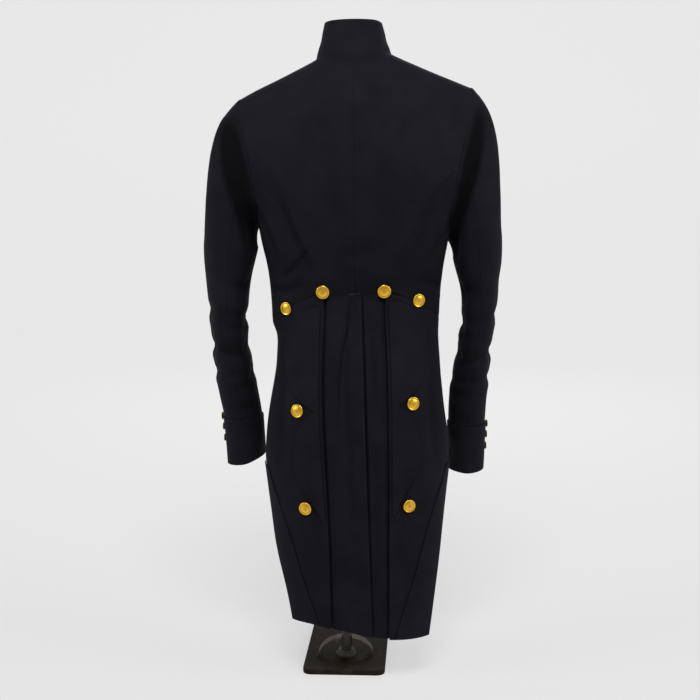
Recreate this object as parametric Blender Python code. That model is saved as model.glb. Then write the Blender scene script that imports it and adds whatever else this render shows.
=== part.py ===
"""A wool tailcoat with a stand collar and gilt buttons, worn by a limbless dress form on a stand.

Metres, +Z up. The coat's back faces -Y and the wearer's left is at -X. The origin is on the
underside of the stand's base, under the post's foot. The cloth is a set of thin walls, one for
each piece that a maker would cut. All of them are read from one smooth surface, which is
described by an angle round the body (0 at the centre back, 180 at the centre front) and a height.
"""

import math

import bmesh
import bpy
import numpy as np

LEFT = -1
RIGHT = 1
SIDE_NAMES = {LEFT: "left", RIGHT: "right"}


def table(columns, *rows):
    """A short table: the names of its columns, then its rows."""
    return {name: [row[i] for row in rows] for i, name in enumerate(columns.split())}


# Cloth
WALL = 0.0020
SEAM_PULL = 0.0002
LAP_DEPTH = 0.0027
COAT_X = 0.028
ROUNDNESS = 2.6

# Body of the coat: half widths and depths of its level sections
BODY = table(
    "height left right back front",
    (0.600, 0.160, 0.162, 0.100, 0.110),
    (0.690, 0.161, 0.163, 0.101, 0.110),
    (0.760, 0.163, 0.167, 0.105, 0.112),
    (0.805, 0.167, 0.172, 0.111, 0.118),
    (0.860, 0.178, 0.182, 0.118, 0.122),
)
ARCH_START = 0.860
ARCH_END = 1.200
RIDGE_Y = 0.004
RIDGE = table(
    "out left right",
    (0.071, 1.197, 1.206),
    (0.140, 1.163, 1.175),
    (0.180, 1.145, 1.159),
    (0.217, 1.126, 1.144),
    (0.230, 1.119, 1.139),
)
SHOULDER_TIP = {LEFT: 0.218, RIGHT: 0.225}
SHOULDER_TURN = 3.0
CHEST_TURN = 2.3
BLADE_RISE = 0.009
COLLAR_DRIFT = 0.004

# Neck seam
NECK_HALF = 0.071
NECK_BACK = 0.076
NECK_FRONT = 0.072
NECK_TOP_BACK = 1.219
NECK_TOP_FRONT = 1.190

# Armhole, in degrees round the body and in heights of the surface
ARMHOLE_BACK = 65.0
ARMHOLE_FRONT = 115.0
SIDE_SEAM = 97.0
UNDERARM = {LEFT: 0.882, RIGHT: 0.856}
SIDE_BACK_TOP = 0.965
FRONT_SCOOP_TOP = 0.945

# Waist seam and the seams that end on it
HIP_BUTTON_Z = 0.769
HIP_ANGLE = 14.7
SKIRT_FRONT_ANGLE = 128.0
WAIST = table(
    "angle height",
    (0.0, 0.769),
    (14.7, 0.769),
    (42.0, 0.742),
    (75.0, 0.714),
    (97.0, 0.704),
    (128.0, 0.697),
    (180.0, 0.690),
)

# Tails
VENT_TOP = 0.761
VENT_LAP = table("height left right", (0.070, 0.026, -0.012), (0.400, 0.018, -0.012), (0.761, 0.012, -0.010))
VENT_STEP = 0.0006
TAIL_NARROW = 0.7535
TAIL_FULL = 0.7450
TAIL_LEVELS = (
    VENT_TOP - VENT_STEP, TAIL_NARROW, TAIL_FULL, 0.715, 0.67, 0.61, 0.54, 0.46, 0.38, 0.30, 0.22, 0.16,
)
TAIL_CLEAR = 0.0012
HEM_LEVEL = 0.12
# The skirts take this height below the waist seam to reach their own shape
SKIRT_START = 0.035
PLEAT_RECESS = 0.0052
PLEAT_TOP = 0.792
PLEAT_FULL = 0.753
PLEAT_UNDER = 0.022
PLEAT_RETURN = 0.018
FOLD_GAP = 0.0006
PLEAT_CLEAR = 0.0005
PLEAT_SINK = 0.0026
PLEAT_HEAD = 0.7655
RETURN_DROP = 0.009
PLEAT = table(
    "height left right",
    (0.060, 0.054, 0.057),
    (0.349, 0.057, 0.060),
    (0.546, 0.065, 0.061),
    (0.769, 0.058, 0.057),
)
SKIRT = table(
    "height left right back edge",
    (0.080, 0.147, 0.161, 0.127, 53.0),
    (0.181, 0.156, 0.166, 0.128, 61.0),
    (0.262, 0.168, 0.170, 0.129, 68.0),
    (0.360, 0.174, 0.175, 0.130, 78.0),
    (0.440, 0.181, 0.183, 0.130, 91.0),
    (0.530, 0.172, 0.173, 0.127, 104.0),
    (0.625, 0.155, 0.165, 0.121, 117.0),
    (0.680, 0.152, 0.162, 0.114, 125.0),
    (0.769, 0.160, 0.166, 0.106, 128.0),
)
HEM = table(
    "across height",
    (-0.140, 0.122),
    (-0.094, 0.124),
    (-0.050, 0.116),
    (-0.018, 0.109),
    (0.013, 0.100),
    (0.047, 0.095),
    (0.150, 0.086),
)

# Flaps, whose outer edge has two lobes and a notch
FLAP_LIFT = 0.0008
FLAP_WALL = 0.0017
FLAP_INSET = 0.006
FLAP_DROP = {LEFT: -0.010, RIGHT: 0.0}
FLAP = table(
    "height out",
    (0.343, 0.066),
    (0.372, 0.084),
    (0.396, 0.098),
    (0.428, 0.115),
    (0.461, 0.121),
    (0.500, 0.116),
    (0.522, 0.109),
    (0.540, 0.096),
    (0.557, 0.078),
    (0.566, 0.094),
    (0.583, 0.112),
    (0.609, 0.126),
    (0.650, 0.135),
    (0.690, 0.131),
    (0.716, 0.121),
    (0.732, 0.108),
    (0.744, 0.092),
    (0.750, 0.076),
)
FLAP_COLUMNS = 6
FLAP_POINT = 0.004
TURNBACK_WALL = 0.0014
TURNBACK_INSET = 1.0
TURNBACK_CLEAR = 0.001
TURNBACK_COLUMNS = 5
TURNBACK_LEVELS = (0.0, 0.08, 0.20, 0.34, 0.50, 0.68, 0.86, 1.0)
TURNBACK = table(
    "height out",
    (0.080, 0.066),
    (0.150, 0.086),
    (0.190, 0.099),
    (0.232, 0.112),
    (0.297, 0.129),
    (0.355, 0.149),
    (0.425, 0.172),
)

# Collar
COLLAR_GAP = 0.0005
COLLAR_TOP_HALF = 0.0540
COLLAR_TOP_BACK = 0.050
COLLAR_TOP_FRONT = 0.058
COLLAR_TOP_Z = 1.265
COLLAR_FALL = 0.066
COLLAR_HOLLOW = 0.85
COLLAR_FALL_POWER = 3.6
COLLAR_ROWS = (0.0, 0.22, 0.48, 0.75, 1.0)
COLLAR_OPEN = 0.0012
FRONT_LAP = 0.016
FRONT_LAP_TOP = 1.157
FRONT_LAP_FULL = 1.115
FRONT_SINK_TOP = 1.175
FRONT_SINK_FULL = 1.158

# Sleeves: level sections below the armhole
SLEEVE = {
    LEFT: table(
        "height centre wide forward deep",
        (0.840, 0.2385, 0.0520, 0.002, 0.072),
        (0.795, 0.2435, 0.0445, 0.000, 0.070),
        (0.740, 0.2455, 0.0385, -0.002, 0.067),
        (0.675, 0.2450, 0.0350, -0.002, 0.062),
        (0.625, 0.2405, 0.0368, 0.003, 0.058),
        (0.570, 0.2345, 0.0385, 0.011, 0.054),
        (0.512, 0.2260, 0.0378, 0.020, 0.050),
        (0.470, 0.2240, 0.0370, 0.026, 0.047),
        (0.436, 0.2225, 0.0365, 0.030, 0.045),
    ),
    RIGHT: table(
        "height centre wide forward deep",
        (0.815, 0.2390, 0.0465, 0.002, 0.072),
        (0.780, 0.2405, 0.0390, 0.000, 0.070),
        (0.732, 0.2430, 0.0340, -0.002, 0.067),
        (0.650, 0.2335, 0.0325, 0.000, 0.062),
        (0.600, 0.2275, 0.0355, 0.006, 0.058),
        (0.545, 0.2225, 0.0372, 0.015, 0.054),
        (0.490, 0.2210, 0.0365, 0.027, 0.050),
        (0.445, 0.2210, 0.0355, 0.036, 0.047),
        (0.408, 0.2200, 0.0350, 0.042, 0.045),
    ),
}
SLEEVE_START_GAP = 0.0006
SLEEVE_CAP_RINGS = 5
CAP_OUT = {LEFT: 0.63, RIGHT: 0.56}
CAP_DOWN = 0.40
CAP_LAND = 0.90
CUFF_ROWS = 3
CUFF_LIFT = 0.0005
CUFF_DROP = 0.0015
# How much lower a cuff's end hangs at the inner side, at the back and front, and at the outer side
CUFF_SLANT = {LEFT: (0.002, 0.016, 0.021), RIGHT: (0.012, 0.016, 0.014)}

# Buttons
BUTTON_SIZE = 0.0255
CUFF_BUTTON_SIZE = 0.0150
BUTTON_THICK = 0.0042
BUTTON_LIFT = 0.0004
HIP_BUTTON_LIFT = 0.0010
CUFF_BUTTON_LIFT = 0.0006
BUTTON_SIDES = 14
FLAP_BUTTONS = {
    LEFT: ((0.124, 0.736), (0.110, 0.546), (0.099, 0.358)),
    RIGHT: ((0.118, 0.749), (0.106, 0.557), (0.098, 0.360)),
}
HIP_BUTTON_OUT = {LEFT: 0.059, RIGHT: 0.0545}
FRONT_BUTTONS = 8
FRONT_BUTTON_LOW = 0.725
FRONT_BUTTON_HIGH = 1.100
CUFF_BUTTON_BEARING = 0.12
CUFF_BUTTON_FACING = 0.09
CUFF_BUTTONS = {LEFT: (0.509, 0.487, 0.463), RIGHT: (0.484, 0.461, 0.436)}

# Dress form and stand
FORM_EASE = 0.009
FORM_WAIST_EASE = 0.015
FORM_WAIST = 0.81
FORM_GAP = 0.0025
FORM_TIP_CUT = 0.016
FORM_NECK_INSET = 1.6
SHOULDER_SLOPE = 1.12
FORM_FOOT = 0.640
FORM_NECK_TOP = 1.222
FORM_NECK_RADIUS = 0.040
FORM_NECK_STEPS = ((0.45, 0.30), (0.80, 0.62), (1.0, 1.0))
FORM_LEVELS = (FORM_FOOT, 0.70, 0.76, 0.81, ARCH_START, 0.93, 1.00, 1.07, 1.13, 1.17, ARCH_END)
FORM_SHARES = (0.0, 0.10, 0.20, 0.30, 0.44, 0.62, 0.80, 0.92, 1.0)
FORM_SIDE_ANGLE = 78.0
POST_TOP = 0.638
POST_RADIUS = 0.0105
POST_SIDES = 20
BASE_WIDE = 0.164
BASE_BACK = 0.076
BASE_FRONT = 0.165
BASE_THICK = 0.010
BASE_CORNER = 0.016
BASE_EDGE = 0.0015
BASE_TURN = math.radians(4.0)
FLANGE_RADIUS = 0.021
FLANGE_HEIGHT = 0.012
BRACE_REACH = 0.056
BRACE_RISE = 0.040
BRACE_THICK = 0.004
BRACE_WIDE = 0.022
BRACE_STEPS = 8
TOUCH = 0.0003

# Colours, roughness and metallic values
CLOTH_FINISH = ((0.012, 0.011, 0.017), 0.85, 0.0)
GILT_FINISH = ((0.75, 0.48, 0.06), 0.28, 1.0)
FORM_FINISH = ((0.030, 0.030, 0.033), 0.80, 0.0)
STEEL_FINISH = ((0.055, 0.050, 0.045), 0.45, 0.8)
IRON_FINISH = ((0.022, 0.017, 0.013), 0.55, 0.3)


def read(values, column, at):
    """The smooth value of a column where the table's first column is at."""
    names = list(values)
    keys = np.array(values[names[0]])
    heights = np.array(values[column])
    at = min(max(at, keys[0]), keys[-1])
    slopes = np.gradient(heights, keys)
    i = min(int(np.searchsorted(keys, at, side="right")) - 1, len(keys) - 2)
    step = keys[i + 1] - keys[i]
    t = (at - keys[i]) / step
    rise = 3 * t**2 - 2 * t**3
    start = step * slopes[i] * (t - 2 * t**2 + t**3)
    end = step * slopes[i + 1] * (t**3 - t**2)
    return float(heights[i] + (heights[i + 1] - heights[i]) * rise + start + end)


def ease(low, high, at):
    """0 at low, 1 at high, smooth between. low may be the greater."""
    t = min(max((at - low) / (high - low), 0.0), 1.0)
    return t * t * (3 - 2 * t)


def mix(a, b, share):
    return a + (b - a) * share


def section(angle, half_width, back, front):
    """A point of a level section, as (out, y), at an angle round the body."""
    turn = math.radians(angle)
    out = half_width * abs(math.sin(turn)) ** (2 / ROUNDNESS)
    depth = abs(math.cos(turn)) ** (2 / ROUNDNESS)
    if math.cos(turn) > 0:
        return out, -back * depth
    return out, front * depth


def angle_out(out, half_width):
    """The back angle whose section point lies out from the centre by that much."""
    share = min(out / half_width, 1.0)
    return math.degrees(math.asin(share ** (ROUNDNESS / 2)))


def coat_point(side, angle, height, inset=0.0):
    """The body's surface. Below ARCH_START it is level sections; above, each column of the surface
    arches over the shoulder to the ridge, or ends on the neck seam. inset is for the dress form."""
    name = SIDE_NAMES[side]
    level = min(height, ARCH_START)
    half_width = read(BODY, name, level) - inset
    out, y = section(angle, half_width, read(BODY, "back", level) - inset, read(BODY, "front", level) - inset)
    z = height
    if height > ARCH_START:
        backward = angle <= 90
        facing = angle if backward else 180 - angle
        tip = SHOULDER_TIP[side] - (FORM_TIP_CUT if inset else 0)
        shoulder_out = tip * min(facing / ARMHOLE_BACK, 1.0)
        neck = NECK_HALF - FORM_NECK_INSET * inset
        ridge_z = read(RIDGE, name, max(shoulder_out, NECK_HALF))
        neck_top = NECK_TOP_BACK if backward else NECK_TOP_FRONT
        near_neck = max(1 - (shoulder_out / NECK_HALF) ** 2, 0.0)
        top_z = ridge_z + (neck_top - read(RIDGE, name, NECK_HALF)) * near_neck
        if inset:
            top_z -= (WALL + FORM_GAP) * SHOULDER_SLOPE
        turn = SHOULDER_TURN if backward else CHEST_TURN
        end = 1.0
        if shoulder_out < neck:
            neck_depth = (NECK_BACK if backward else NECK_FRONT) - FORM_NECK_INSET * inset
            reach = neck_depth * math.sqrt(1 - (shoulder_out / neck) ** 2)
            share = min(reach / abs(y - RIDGE_Y), 1.0)
            end = math.asin((1 - share**turn) ** (1 / turn)) * 2 / math.pi
        rise = math.sin((height - ARCH_START) / (ARCH_END - ARCH_START) * end * math.pi / 2)
        thin = (1 - rise**turn) ** (1 / turn)
        blade = BLADE_RISE * math.sin(math.pi * rise) ** 2 if backward and not inset else 0.0
        z = mix(ARCH_START, top_z, rise)
        out = mix(out, shoulder_out, rise)
        y = RIDGE_Y + (y - RIDGE_Y) * thin - blade
    drift = COLLAR_DRIFT * ease(ARCH_START, ARCH_END, z)
    return np.array((side * out + drift, y, z))


def waist_height(angle):
    return read(WAIST, "height", angle)


def skirt_point(side, angle, height):
    """The skirt's surface, which leaves the body's at the waist seam."""
    name = SIDE_NAMES[side]
    share = ease(0.0, SKIRT_START, waist_height(angle) - height)
    half_width = mix(read(BODY, name, height), read(SKIRT, name, height), share)
    back = mix(read(BODY, "back", height), read(SKIRT, "back", height), share)
    out, y = section(angle, half_width, back, read(BODY, "front", height))
    return np.array((side * out, y, height))


def skirt_angle(side, out, height):
    return angle_out(out, read(SKIRT, SIDE_NAMES[side], height))


def normal_of(surface, side, angle, height):
    """The outward direction of a surface, from two short steps on it."""
    turn = -0.4 if 33 < angle <= 90 or angle > 150 else 0.4
    lift = -0.0015
    here = surface(side, angle, height)
    across = (surface(side, angle + turn, height) - here) / turn
    up = (surface(side, angle, height + lift) - here) / lift
    direction = np.cross(across, up) * side
    return direction / np.linalg.norm(direction)


def full_turn(sides):
    return [2 * math.pi * i / sides for i in range(sides)]


def unit(vector):
    return vector / max(np.linalg.norm(vector), 1e-12)


def pull_edges(outer, normals, edges, pull=SEAM_PULL):
    """Moves border points into the panel, at right angles to the border. edges names the borders:
    low and high are the first and last row, start and end the first and last column."""
    moved = outer.copy()
    lines = {
        "low": (outer[0], normals[0], outer[1], (0, slice(None))),
        "high": (outer[-1], normals[-1], outer[-2], (-1, slice(None))),
        "start": (outer[:, 0], normals[:, 0], outer[:, 1], (slice(None), 0)),
        "end": (outer[:, -1], normals[:, -1], outer[:, -2], (slice(None), -1)),
    }
    for edge in edges:
        line, line_normals, inside, place = lines[edge]
        along = np.gradient(line, axis=0)
        inward = np.cross(along, line_normals)
        inward = inward / np.maximum(np.linalg.norm(inward, axis=1)[:, None], 1e-12)
        toward = np.sum(inward * (inside - line), axis=1)
        inward = inward * np.where(toward < 0, -1.0, 1.0)[:, None]
        moved[place] += inward * pull
    return moved


def new_object(name, mesh, finish, shift=COAT_X):
    """Links a mesh as one named object with its own material, its faces pointing out."""
    colour, roughness, metallic = finish
    material = bpy.data.materials.new(name)
    material.use_nodes = True
    shader = material.node_tree.nodes["Principled BSDF"]
    shader.inputs["Base Color"].default_value = (*colour, 1.0)
    shader.inputs["Roughness"].default_value = roughness
    shader.inputs["Metallic"].default_value = metallic
    data = bpy.data.meshes.new(name)
    bmesh.ops.remove_doubles(mesh, verts=mesh.verts, dist=1e-6)
    bmesh.ops.recalc_face_normals(mesh, faces=mesh.faces)
    mesh.to_mesh(data)
    mesh.free()
    data.shade_smooth()
    data.set_sharp_from_angle(angle=math.radians(40))
    data.materials.append(material)
    item = bpy.data.objects.new(name, data)
    item.location = (shift, 0, 0)
    bpy.context.scene.collection.objects.link(item)
    return item


def wall(name, outer, inner, closed=False, finish=CLOTH_FINISH, shift=COAT_X):
    """A thin solid between two grids of points. closed joins the last column to the first."""
    rows, columns = outer.shape[:2]
    mesh = bmesh.new()
    out = [[mesh.verts.new(p) for p in row] for row in outer]
    back = [[mesh.verts.new(p) for p in row] for row in inner]
    spans = columns if closed else columns - 1
    for j in range(rows - 1):
        for i in range(spans):
            k = (i + 1) % columns
            mesh.faces.new((out[j][i], out[j][k], out[j + 1][k], out[j + 1][i]))
            mesh.faces.new((back[j][i], back[j + 1][i], back[j + 1][k], back[j][k]))
    for i in range(spans):
        k = (i + 1) % columns
        for j in (0, rows - 1):
            mesh.faces.new((out[j][i], out[j][k], back[j][k], back[j][i]))
    if not closed:
        for j in range(rows - 1):
            for i in (0, columns - 1):
                mesh.faces.new((out[j][i], out[j + 1][i], back[j + 1][i], back[j][i]))
    bmesh.ops.triangulate(mesh, faces=mesh.faces)
    return new_object(name, mesh, finish, shift)


def surface_grid(surface, side, places):
    """Points and normals of a surface at rows of (angle, height)."""
    outer = np.array([[surface(side, angle, height) for angle, height in row] for row in places])
    normals = np.array([[normal_of(surface, side, angle, height) for angle, height in row] for row in places])
    return outer, normals


# Rows and columns that neighbouring panels share, so that their seams match
SEAM_STEPS = 6
ARM_STEPS = 5
SCOOP_STEPS = 4
SIDE_COLUMNS = 5
FRONT_SKIRT_COLUMNS = 2
FRONT_WAIST_SHARES = (0.14, 0.28, 0.42, 0.56, 0.70, 0.83, 0.92, 1.0)
FRONT_NECK_SHARES = (0.93, 0.80, 0.62, 0.42, 0.21, 0.0)
FRONT_SHOULDER_SHARES = (0.0, 0.16, 0.33, 0.50)
NECK_SHARES = (0.0, 0.09, 0.18, 0.26, 0.31)
OUTER_SHARES = (0.50, 0.68, 0.85, 1.0)


def column_shares(side):
    """Shares of the way from the centre to the armhole, one of them at the neck's corner."""
    corner = NECK_HALF / SHOULDER_TIP[side]
    return (*NECK_SHARES, corner, *OUTER_SHARES)


def side_back_seam(share):
    """The curved seam from the hip button up to the armhole, as (angle, height)."""
    angle = mix(HIP_ANGLE, ARMHOLE_BACK, share**1.7)
    return angle, mix(HIP_BUTTON_Z, SIDE_BACK_TOP, share)


def back_scoop(side, share):
    """The armhole's edge from the side-back seam down to the side seam."""
    turn = share * math.pi / 2
    angle = mix(ARMHOLE_BACK, SIDE_SEAM, 1 - math.cos(turn))
    return angle, mix(SIDE_BACK_TOP, UNDERARM[side], math.sin(turn))


def front_scoop(side, share):
    """The armhole's edge from the side seam up the front."""
    turn = share * math.pi / 2
    angle = mix(SIDE_SEAM, ARMHOLE_FRONT, math.sin(turn))
    return angle, mix(UNDERARM[side], FRONT_SCOOP_TOP, 1 - math.cos(turn))


def upper_heights(start):
    """Heights of the armhole's upper rows, closer together towards the shoulder."""
    return [mix(start, ARCH_END, (i / ARM_STEPS) ** 0.9) for i in range(1, ARM_STEPS + 1)]


def vent_shift(side, out_signed, height):
    """How far a point of the back lies in from the surface: the pleats' recess and the lap."""
    recess = PLEAT_RECESS * ease(PLEAT_TOP, PLEAT_FULL, height)
    if side == LEFT:
        return recess
    lapped = ease(VENT_TOP + 0.016, VENT_TOP + 0.002, height) * ease(0.048, 0.034, out_signed)
    return recess + LAP_DEPTH * lapped


def hem_height(x):
    return read(HEM, "height", x)


def tail_x(side, height, share):
    """Across the tail from its lapped edge to its edge under the side skirt. Its top is narrower."""
    name = SIDE_NAMES[side]
    pleat = read(PLEAT, name, height)
    far = mix(pleat - TAIL_CLEAR, pleat + PLEAT_UNDER, ease(TAIL_NARROW, TAIL_FULL, height))
    return mix(read(VENT_LAP, name, height), side * far, share)


def tail_point(side, x, height):
    """The back tail's outer point, level with the skirts' surface less the recess and lap."""
    own = LEFT if x < 0 else RIGHT
    name = SIDE_NAMES[own]
    half_width = mix(read(SKIRT, "left", height), read(SKIRT, "right", height), ease(-0.05, 0.05, x))
    share = ease(0.0, SKIRT_START, HIP_BUTTON_Z - height)
    half_width = mix(read(BODY, name, height), half_width, share)
    depth = mix(read(BODY, "back", height), read(SKIRT, "back", height), share)
    inner = depth * (1 - min(abs(x) / half_width, 1.0) ** ROUNDNESS) ** (1 / ROUNDNESS)
    pleat = read(PLEAT, name, height)
    sink = PLEAT_SINK * ease(pleat - 0.004, pleat + 0.004, abs(x))
    return np.array((x, -inner + sink + vent_shift(side, x if side == RIGHT else 1.0, height), height))


def make_backs():
    """Each back and its tail, cut in one."""
    for side in (LEFT, RIGHT):
        shares = column_shares(side)
        edge = [side_back_seam(i / SEAM_STEPS) for i in range(SEAM_STEPS + 1)]
        edge += [(ARMHOLE_BACK, height) for height in upper_heights(SIDE_BACK_TOP)]
        low_centre = VENT_TOP + VENT_STEP
        outer_rows, normal_rows = [], []
        for edge_angle, edge_height in edge:
            climb = (edge_height - HIP_BUTTON_Z) / (ARCH_END - HIP_BUTTON_Z)
            centre_height = mix(low_centre, ARCH_END, climb)
            row, facing = [], []
            for share in shares:
                angle, height = edge_angle * share, mix(centre_height, edge_height, share)
                point = coat_point(side, angle, height)
                direction = normal_of(coat_point, side, max(angle, 0.01), height)
                shift = vent_shift(side, abs(point[0]), height) * ease(1.0, 0.75, share)
                row.append(point - direction * shift)
                facing.append(direction)
            outer_rows.append(row)
            normal_rows.append(facing)
        upper = np.array(outer_rows)
        upper_normals = np.array(normal_rows)
        upper = pull_edges(upper, upper_normals, ("start", "end", "high"))
        lower_rows = []
        for level in TAIL_LEVELS + (None,):
            row = []
            for share in shares:
                x = tail_x(side, level or HEM_LEVEL, share)
                row.append(tail_point(side, x, level or hem_height(x)))
            lower_rows.append(row)
        lower_rows.reverse()
        lower = np.array(lower_rows)
        along = np.gradient(lower, axis=1)
        down = np.gradient(lower, axis=0)
        lower_normals = np.cross(along, down) * side
        lower_normals = lower_normals / np.linalg.norm(lower_normals, axis=2)[:, :, None]
        outer = np.concatenate([lower, upper])
        normals = np.concatenate([lower_normals, upper_normals])
        wall(f"back_{SIDE_NAMES[side]}", outer, outer - normals * WALL)


def make_side_bodies():
    """The piece under the arm, from the side-back seam to the side seam."""
    for side in (LEFT, RIGHT):
        places = []
        for j in range(SEAM_STEPS + 1):
            climb = j / SEAM_STEPS
            seam_angle, seam_height = side_back_seam(climb)
            row = []
            for i in range(SIDE_COLUMNS + 1):
                share = i / SIDE_COLUMNS
                top_angle, top_height = back_scoop(side, share)
                top_share = (top_angle - ARMHOLE_BACK) / (SIDE_SEAM - ARMHOLE_BACK)
                angle = mix(seam_angle, SIDE_SEAM, mix(share, top_share, climb))
                low = waist_height(mix(HIP_ANGLE, SIDE_SEAM, share))
                height = mix(low, top_height, climb)
                row.append((angle, seam_height if i == 0 else height))
            places.append(row)
        outer, normals = surface_grid(coat_point, side, places)
        outer = pull_edges(outer, normals, ("start", "end", "low", "high"))
        wall(f"side_{SIDE_NAMES[side]}", outer, outer - normals * WALL)


def front_edge():
    """The front's side border, from the waist up the side seam and round the armhole."""
    seam = [("seam", i / SEAM_STEPS) for i in range(SEAM_STEPS + 1)]
    scoop = [("scoop", i / SCOOP_STEPS) for i in range(1, SCOOP_STEPS + 1)]
    return seam + scoop + [("arm", height) for height in upper_heights(FRONT_SCOOP_TOP)]


def front_edge_place(side, kind, value):
    if kind == "seam":
        low = waist_height(SIDE_SEAM)
        return SIDE_SEAM, mix(low, UNDERARM[side], value)
    if kind == "scoop":
        return front_scoop(side, value)
    return ARMHOLE_FRONT, value


def front_columns():
    """Angles along the waist: the skirt's columns first, then on to the centre front."""
    steps = range(FRONT_SKIRT_COLUMNS + 1)
    skirt = [mix(SIDE_SEAM, SKIRT_FRONT_ANGLE, i / FRONT_SKIRT_COLUMNS) for i in steps]
    return skirt + [mix(SKIRT_FRONT_ANGLE, 180.0, share) for share in FRONT_WAIST_SHARES]


def make_fronts():
    """The fronts, cut across at the waist. The left laps over the right at the centre."""
    for side in (LEFT, RIGHT):
        borders = [front_edge_place(side, kind, value) for kind, value in front_edge()]
        waist_angles = front_columns()
        waist_shares = [(angle - SIDE_SEAM) / (180 - SIDE_SEAM) for angle in waist_angles]
        corner = NECK_HALF / SHOULDER_TIP[side]
        neck_shares = [1 - corner * share for share in FRONT_NECK_SHARES]
        top_shares = [*FRONT_SHOULDER_SHARES, 1 - corner, *neck_shares]
        outer_rows, normal_rows = [], []
        for edge_angle, edge_height in borders:
            climb = (edge_height - waist_height(SIDE_SEAM)) / (ARCH_END - waist_height(SIDE_SEAM))
            row, facing = [], []
            for low_share, top_share in zip(waist_shares, top_shares):
                share = mix(low_share, top_share, ease(0.0, 0.8, climb))
                angle = mix(edge_angle, 180.0, share)
                centre = mix(waist_height(180.0), ARCH_END, climb)
                height = mix(edge_height, centre, share)
                if climb == 0:
                    height = waist_height(angle)
                point = coat_point(side, angle, height)
                direction = normal_of(coat_point, side, min(angle, 179.99), height)
                lapped = ease(FRONT_SINK_TOP, FRONT_SINK_FULL, height) * ease(0.042, 0.030, abs(point[0]))
                if side == RIGHT:
                    point = point - direction * LAP_DEPTH * lapped
                row.append(point)
                facing.append(direction)
            outer_rows.append(row)
            normal_rows.append(facing)
        outer, normals = np.array(outer_rows), np.array(normal_rows)
        outer = pull_edges(outer, normals, ("start", "high", "low"))
        for j in range(len(outer)):
            height = borders[j][1]
            reach = FRONT_LAP * ease(FRONT_LAP_TOP, FRONT_LAP_FULL, height)
            lapping = reach if side == LEFT else reach * 0.6
            outer[j, -1, 0] += -side * (lapping - SEAM_PULL)
        wall(f"front_{SIDE_NAMES[side]}", outer, outer - normals * WALL)


SKIRT_LEVELS = (0.0, 0.09, 0.20, 0.32, 0.44, 0.54, 0.63, 0.71, 0.79, 0.86, 0.91, 0.95, 0.98, 1.0)


def skirt_columns():
    """Shares of the way from the pleat to the front edge, matched to the bodice's columns."""
    angles = [mix(HIP_ANGLE, SIDE_SEAM, i / SIDE_COLUMNS) for i in range(SIDE_COLUMNS + 1)]
    angles += front_columns()[1 : FRONT_SKIRT_COLUMNS + 1]
    return [(angle - HIP_ANGLE) / (SKIRT_FRONT_ANGLE - HIP_ANGLE) for angle in angles]


def skirt_place(side, climb, share):
    """The (angle, height) of a skirt point: climb is 0 at the hem and 1 at the waist seam."""
    name = SIDE_NAMES[side]
    top_angle = mix(HIP_ANGLE, SKIRT_FRONT_ANGLE, share)
    top = waist_height(top_angle) - 2 * SEAM_PULL
    height = 0.10
    for _ in range(6):
        pleat_out = read(PLEAT, name, height) + WALL + FOLD_GAP / 2 + PLEAT_CLEAR
        back_angle = skirt_angle(side, pleat_out, height)
        angle = mix(back_angle, read(SKIRT, "edge", height), share)
        angle = mix(angle, top_angle, ease(0.93, 1.0, climb) * ease(0.0, 0.15, share))
        x = skirt_point(side, angle, height)[0]
        height = mix(hem_height(x), top, climb)
    return angle, min(height, PLEAT_HEAD)


def skirt_grid(side):
    """The side skirt's outer points and normals, from the pleat fold to the front edge."""
    places = [[skirt_place(side, climb, share) for share in skirt_columns()] for climb in SKIRT_LEVELS]
    return surface_grid(skirt_point, side, places)


def on_skirt(side, out, height):
    """The point and normal of the skirt at that distance out from the centre."""
    angle = skirt_angle(side, out, height)
    return skirt_point(side, angle, height), normal_of(skirt_point, side, angle, height)


def make_skirts():
    """The side skirts. At the pleat the cloth turns under and lies beneath itself."""
    bend = WALL + FOLD_GAP / 2
    for side in (LEFT, RIGHT):
        outer, normals = skirt_grid(side)
        outer_rows, inner_rows = [], []
        for climb, row, facing in zip(SKIRT_LEVELS, outer, normals):
            drop = np.array((0.0, 0.0, RETURN_DROP * ease(0.93, 1.0, climb)))
            outer_row = list(row[::-1])
            inner_row = list((row - facing * WALL)[::-1])
            out = unit(facing[0] * np.array((1.0, 1.0, 0.0)))
            inward = np.array((out[1], -out[0], 0.0)) * side
            centre = row[0] - out * bend
            for turn in (45, 90, 135, 180):
                bent = out * math.cos(math.radians(turn)) + inward * math.sin(math.radians(turn))
                outer_row.append(centre + bent * bend)
                inner_row.append(centre + bent * FOLD_GAP / 2)
            along = PLEAT_RETURN / np.linalg.norm(row[1] - row[0])
            for reach in (0.5, 1.0):
                base = mix(row[0], row[1], along * reach) - drop
                outer_row.append(base - out * 2 * bend)
                inner_row.append(base - out * (WALL + FOLD_GAP))
            outer_rows.append(outer_row)
            inner_rows.append(inner_row)
        wall(f"skirt_{SIDE_NAMES[side]}", np.array(outer_rows), np.array(inner_rows))


def laid_on(name, places, thick):
    """A piece that lies on a panel, from rows of the panel's points and normals, moved out."""
    points = np.array([[point for point, _ in row] for row in places])
    normals = np.array([[normal for _, normal in row] for row in places])
    return wall(name, points + normals * (FLAP_LIFT + thick), points + normals * FLAP_LIFT)


def make_flaps():
    for side in (LEFT, RIGHT):
        places = []
        for height, out in zip(FLAP["height"], FLAP["out"]):
            level = height + FLAP_DROP[side]
            near = read(PLEAT, SIDE_NAMES[side], level) + FLAP_INSET
            far = max(out, near + FLAP_POINT)
            shares = [i / FLAP_COLUMNS for i in range(FLAP_COLUMNS + 1)]
            places.append([on_skirt(side, mix(near, far, share), level) for share in shares])
        laid_on(f"flap_{SIDE_NAMES[side]}", places, FLAP_WALL)


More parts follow.
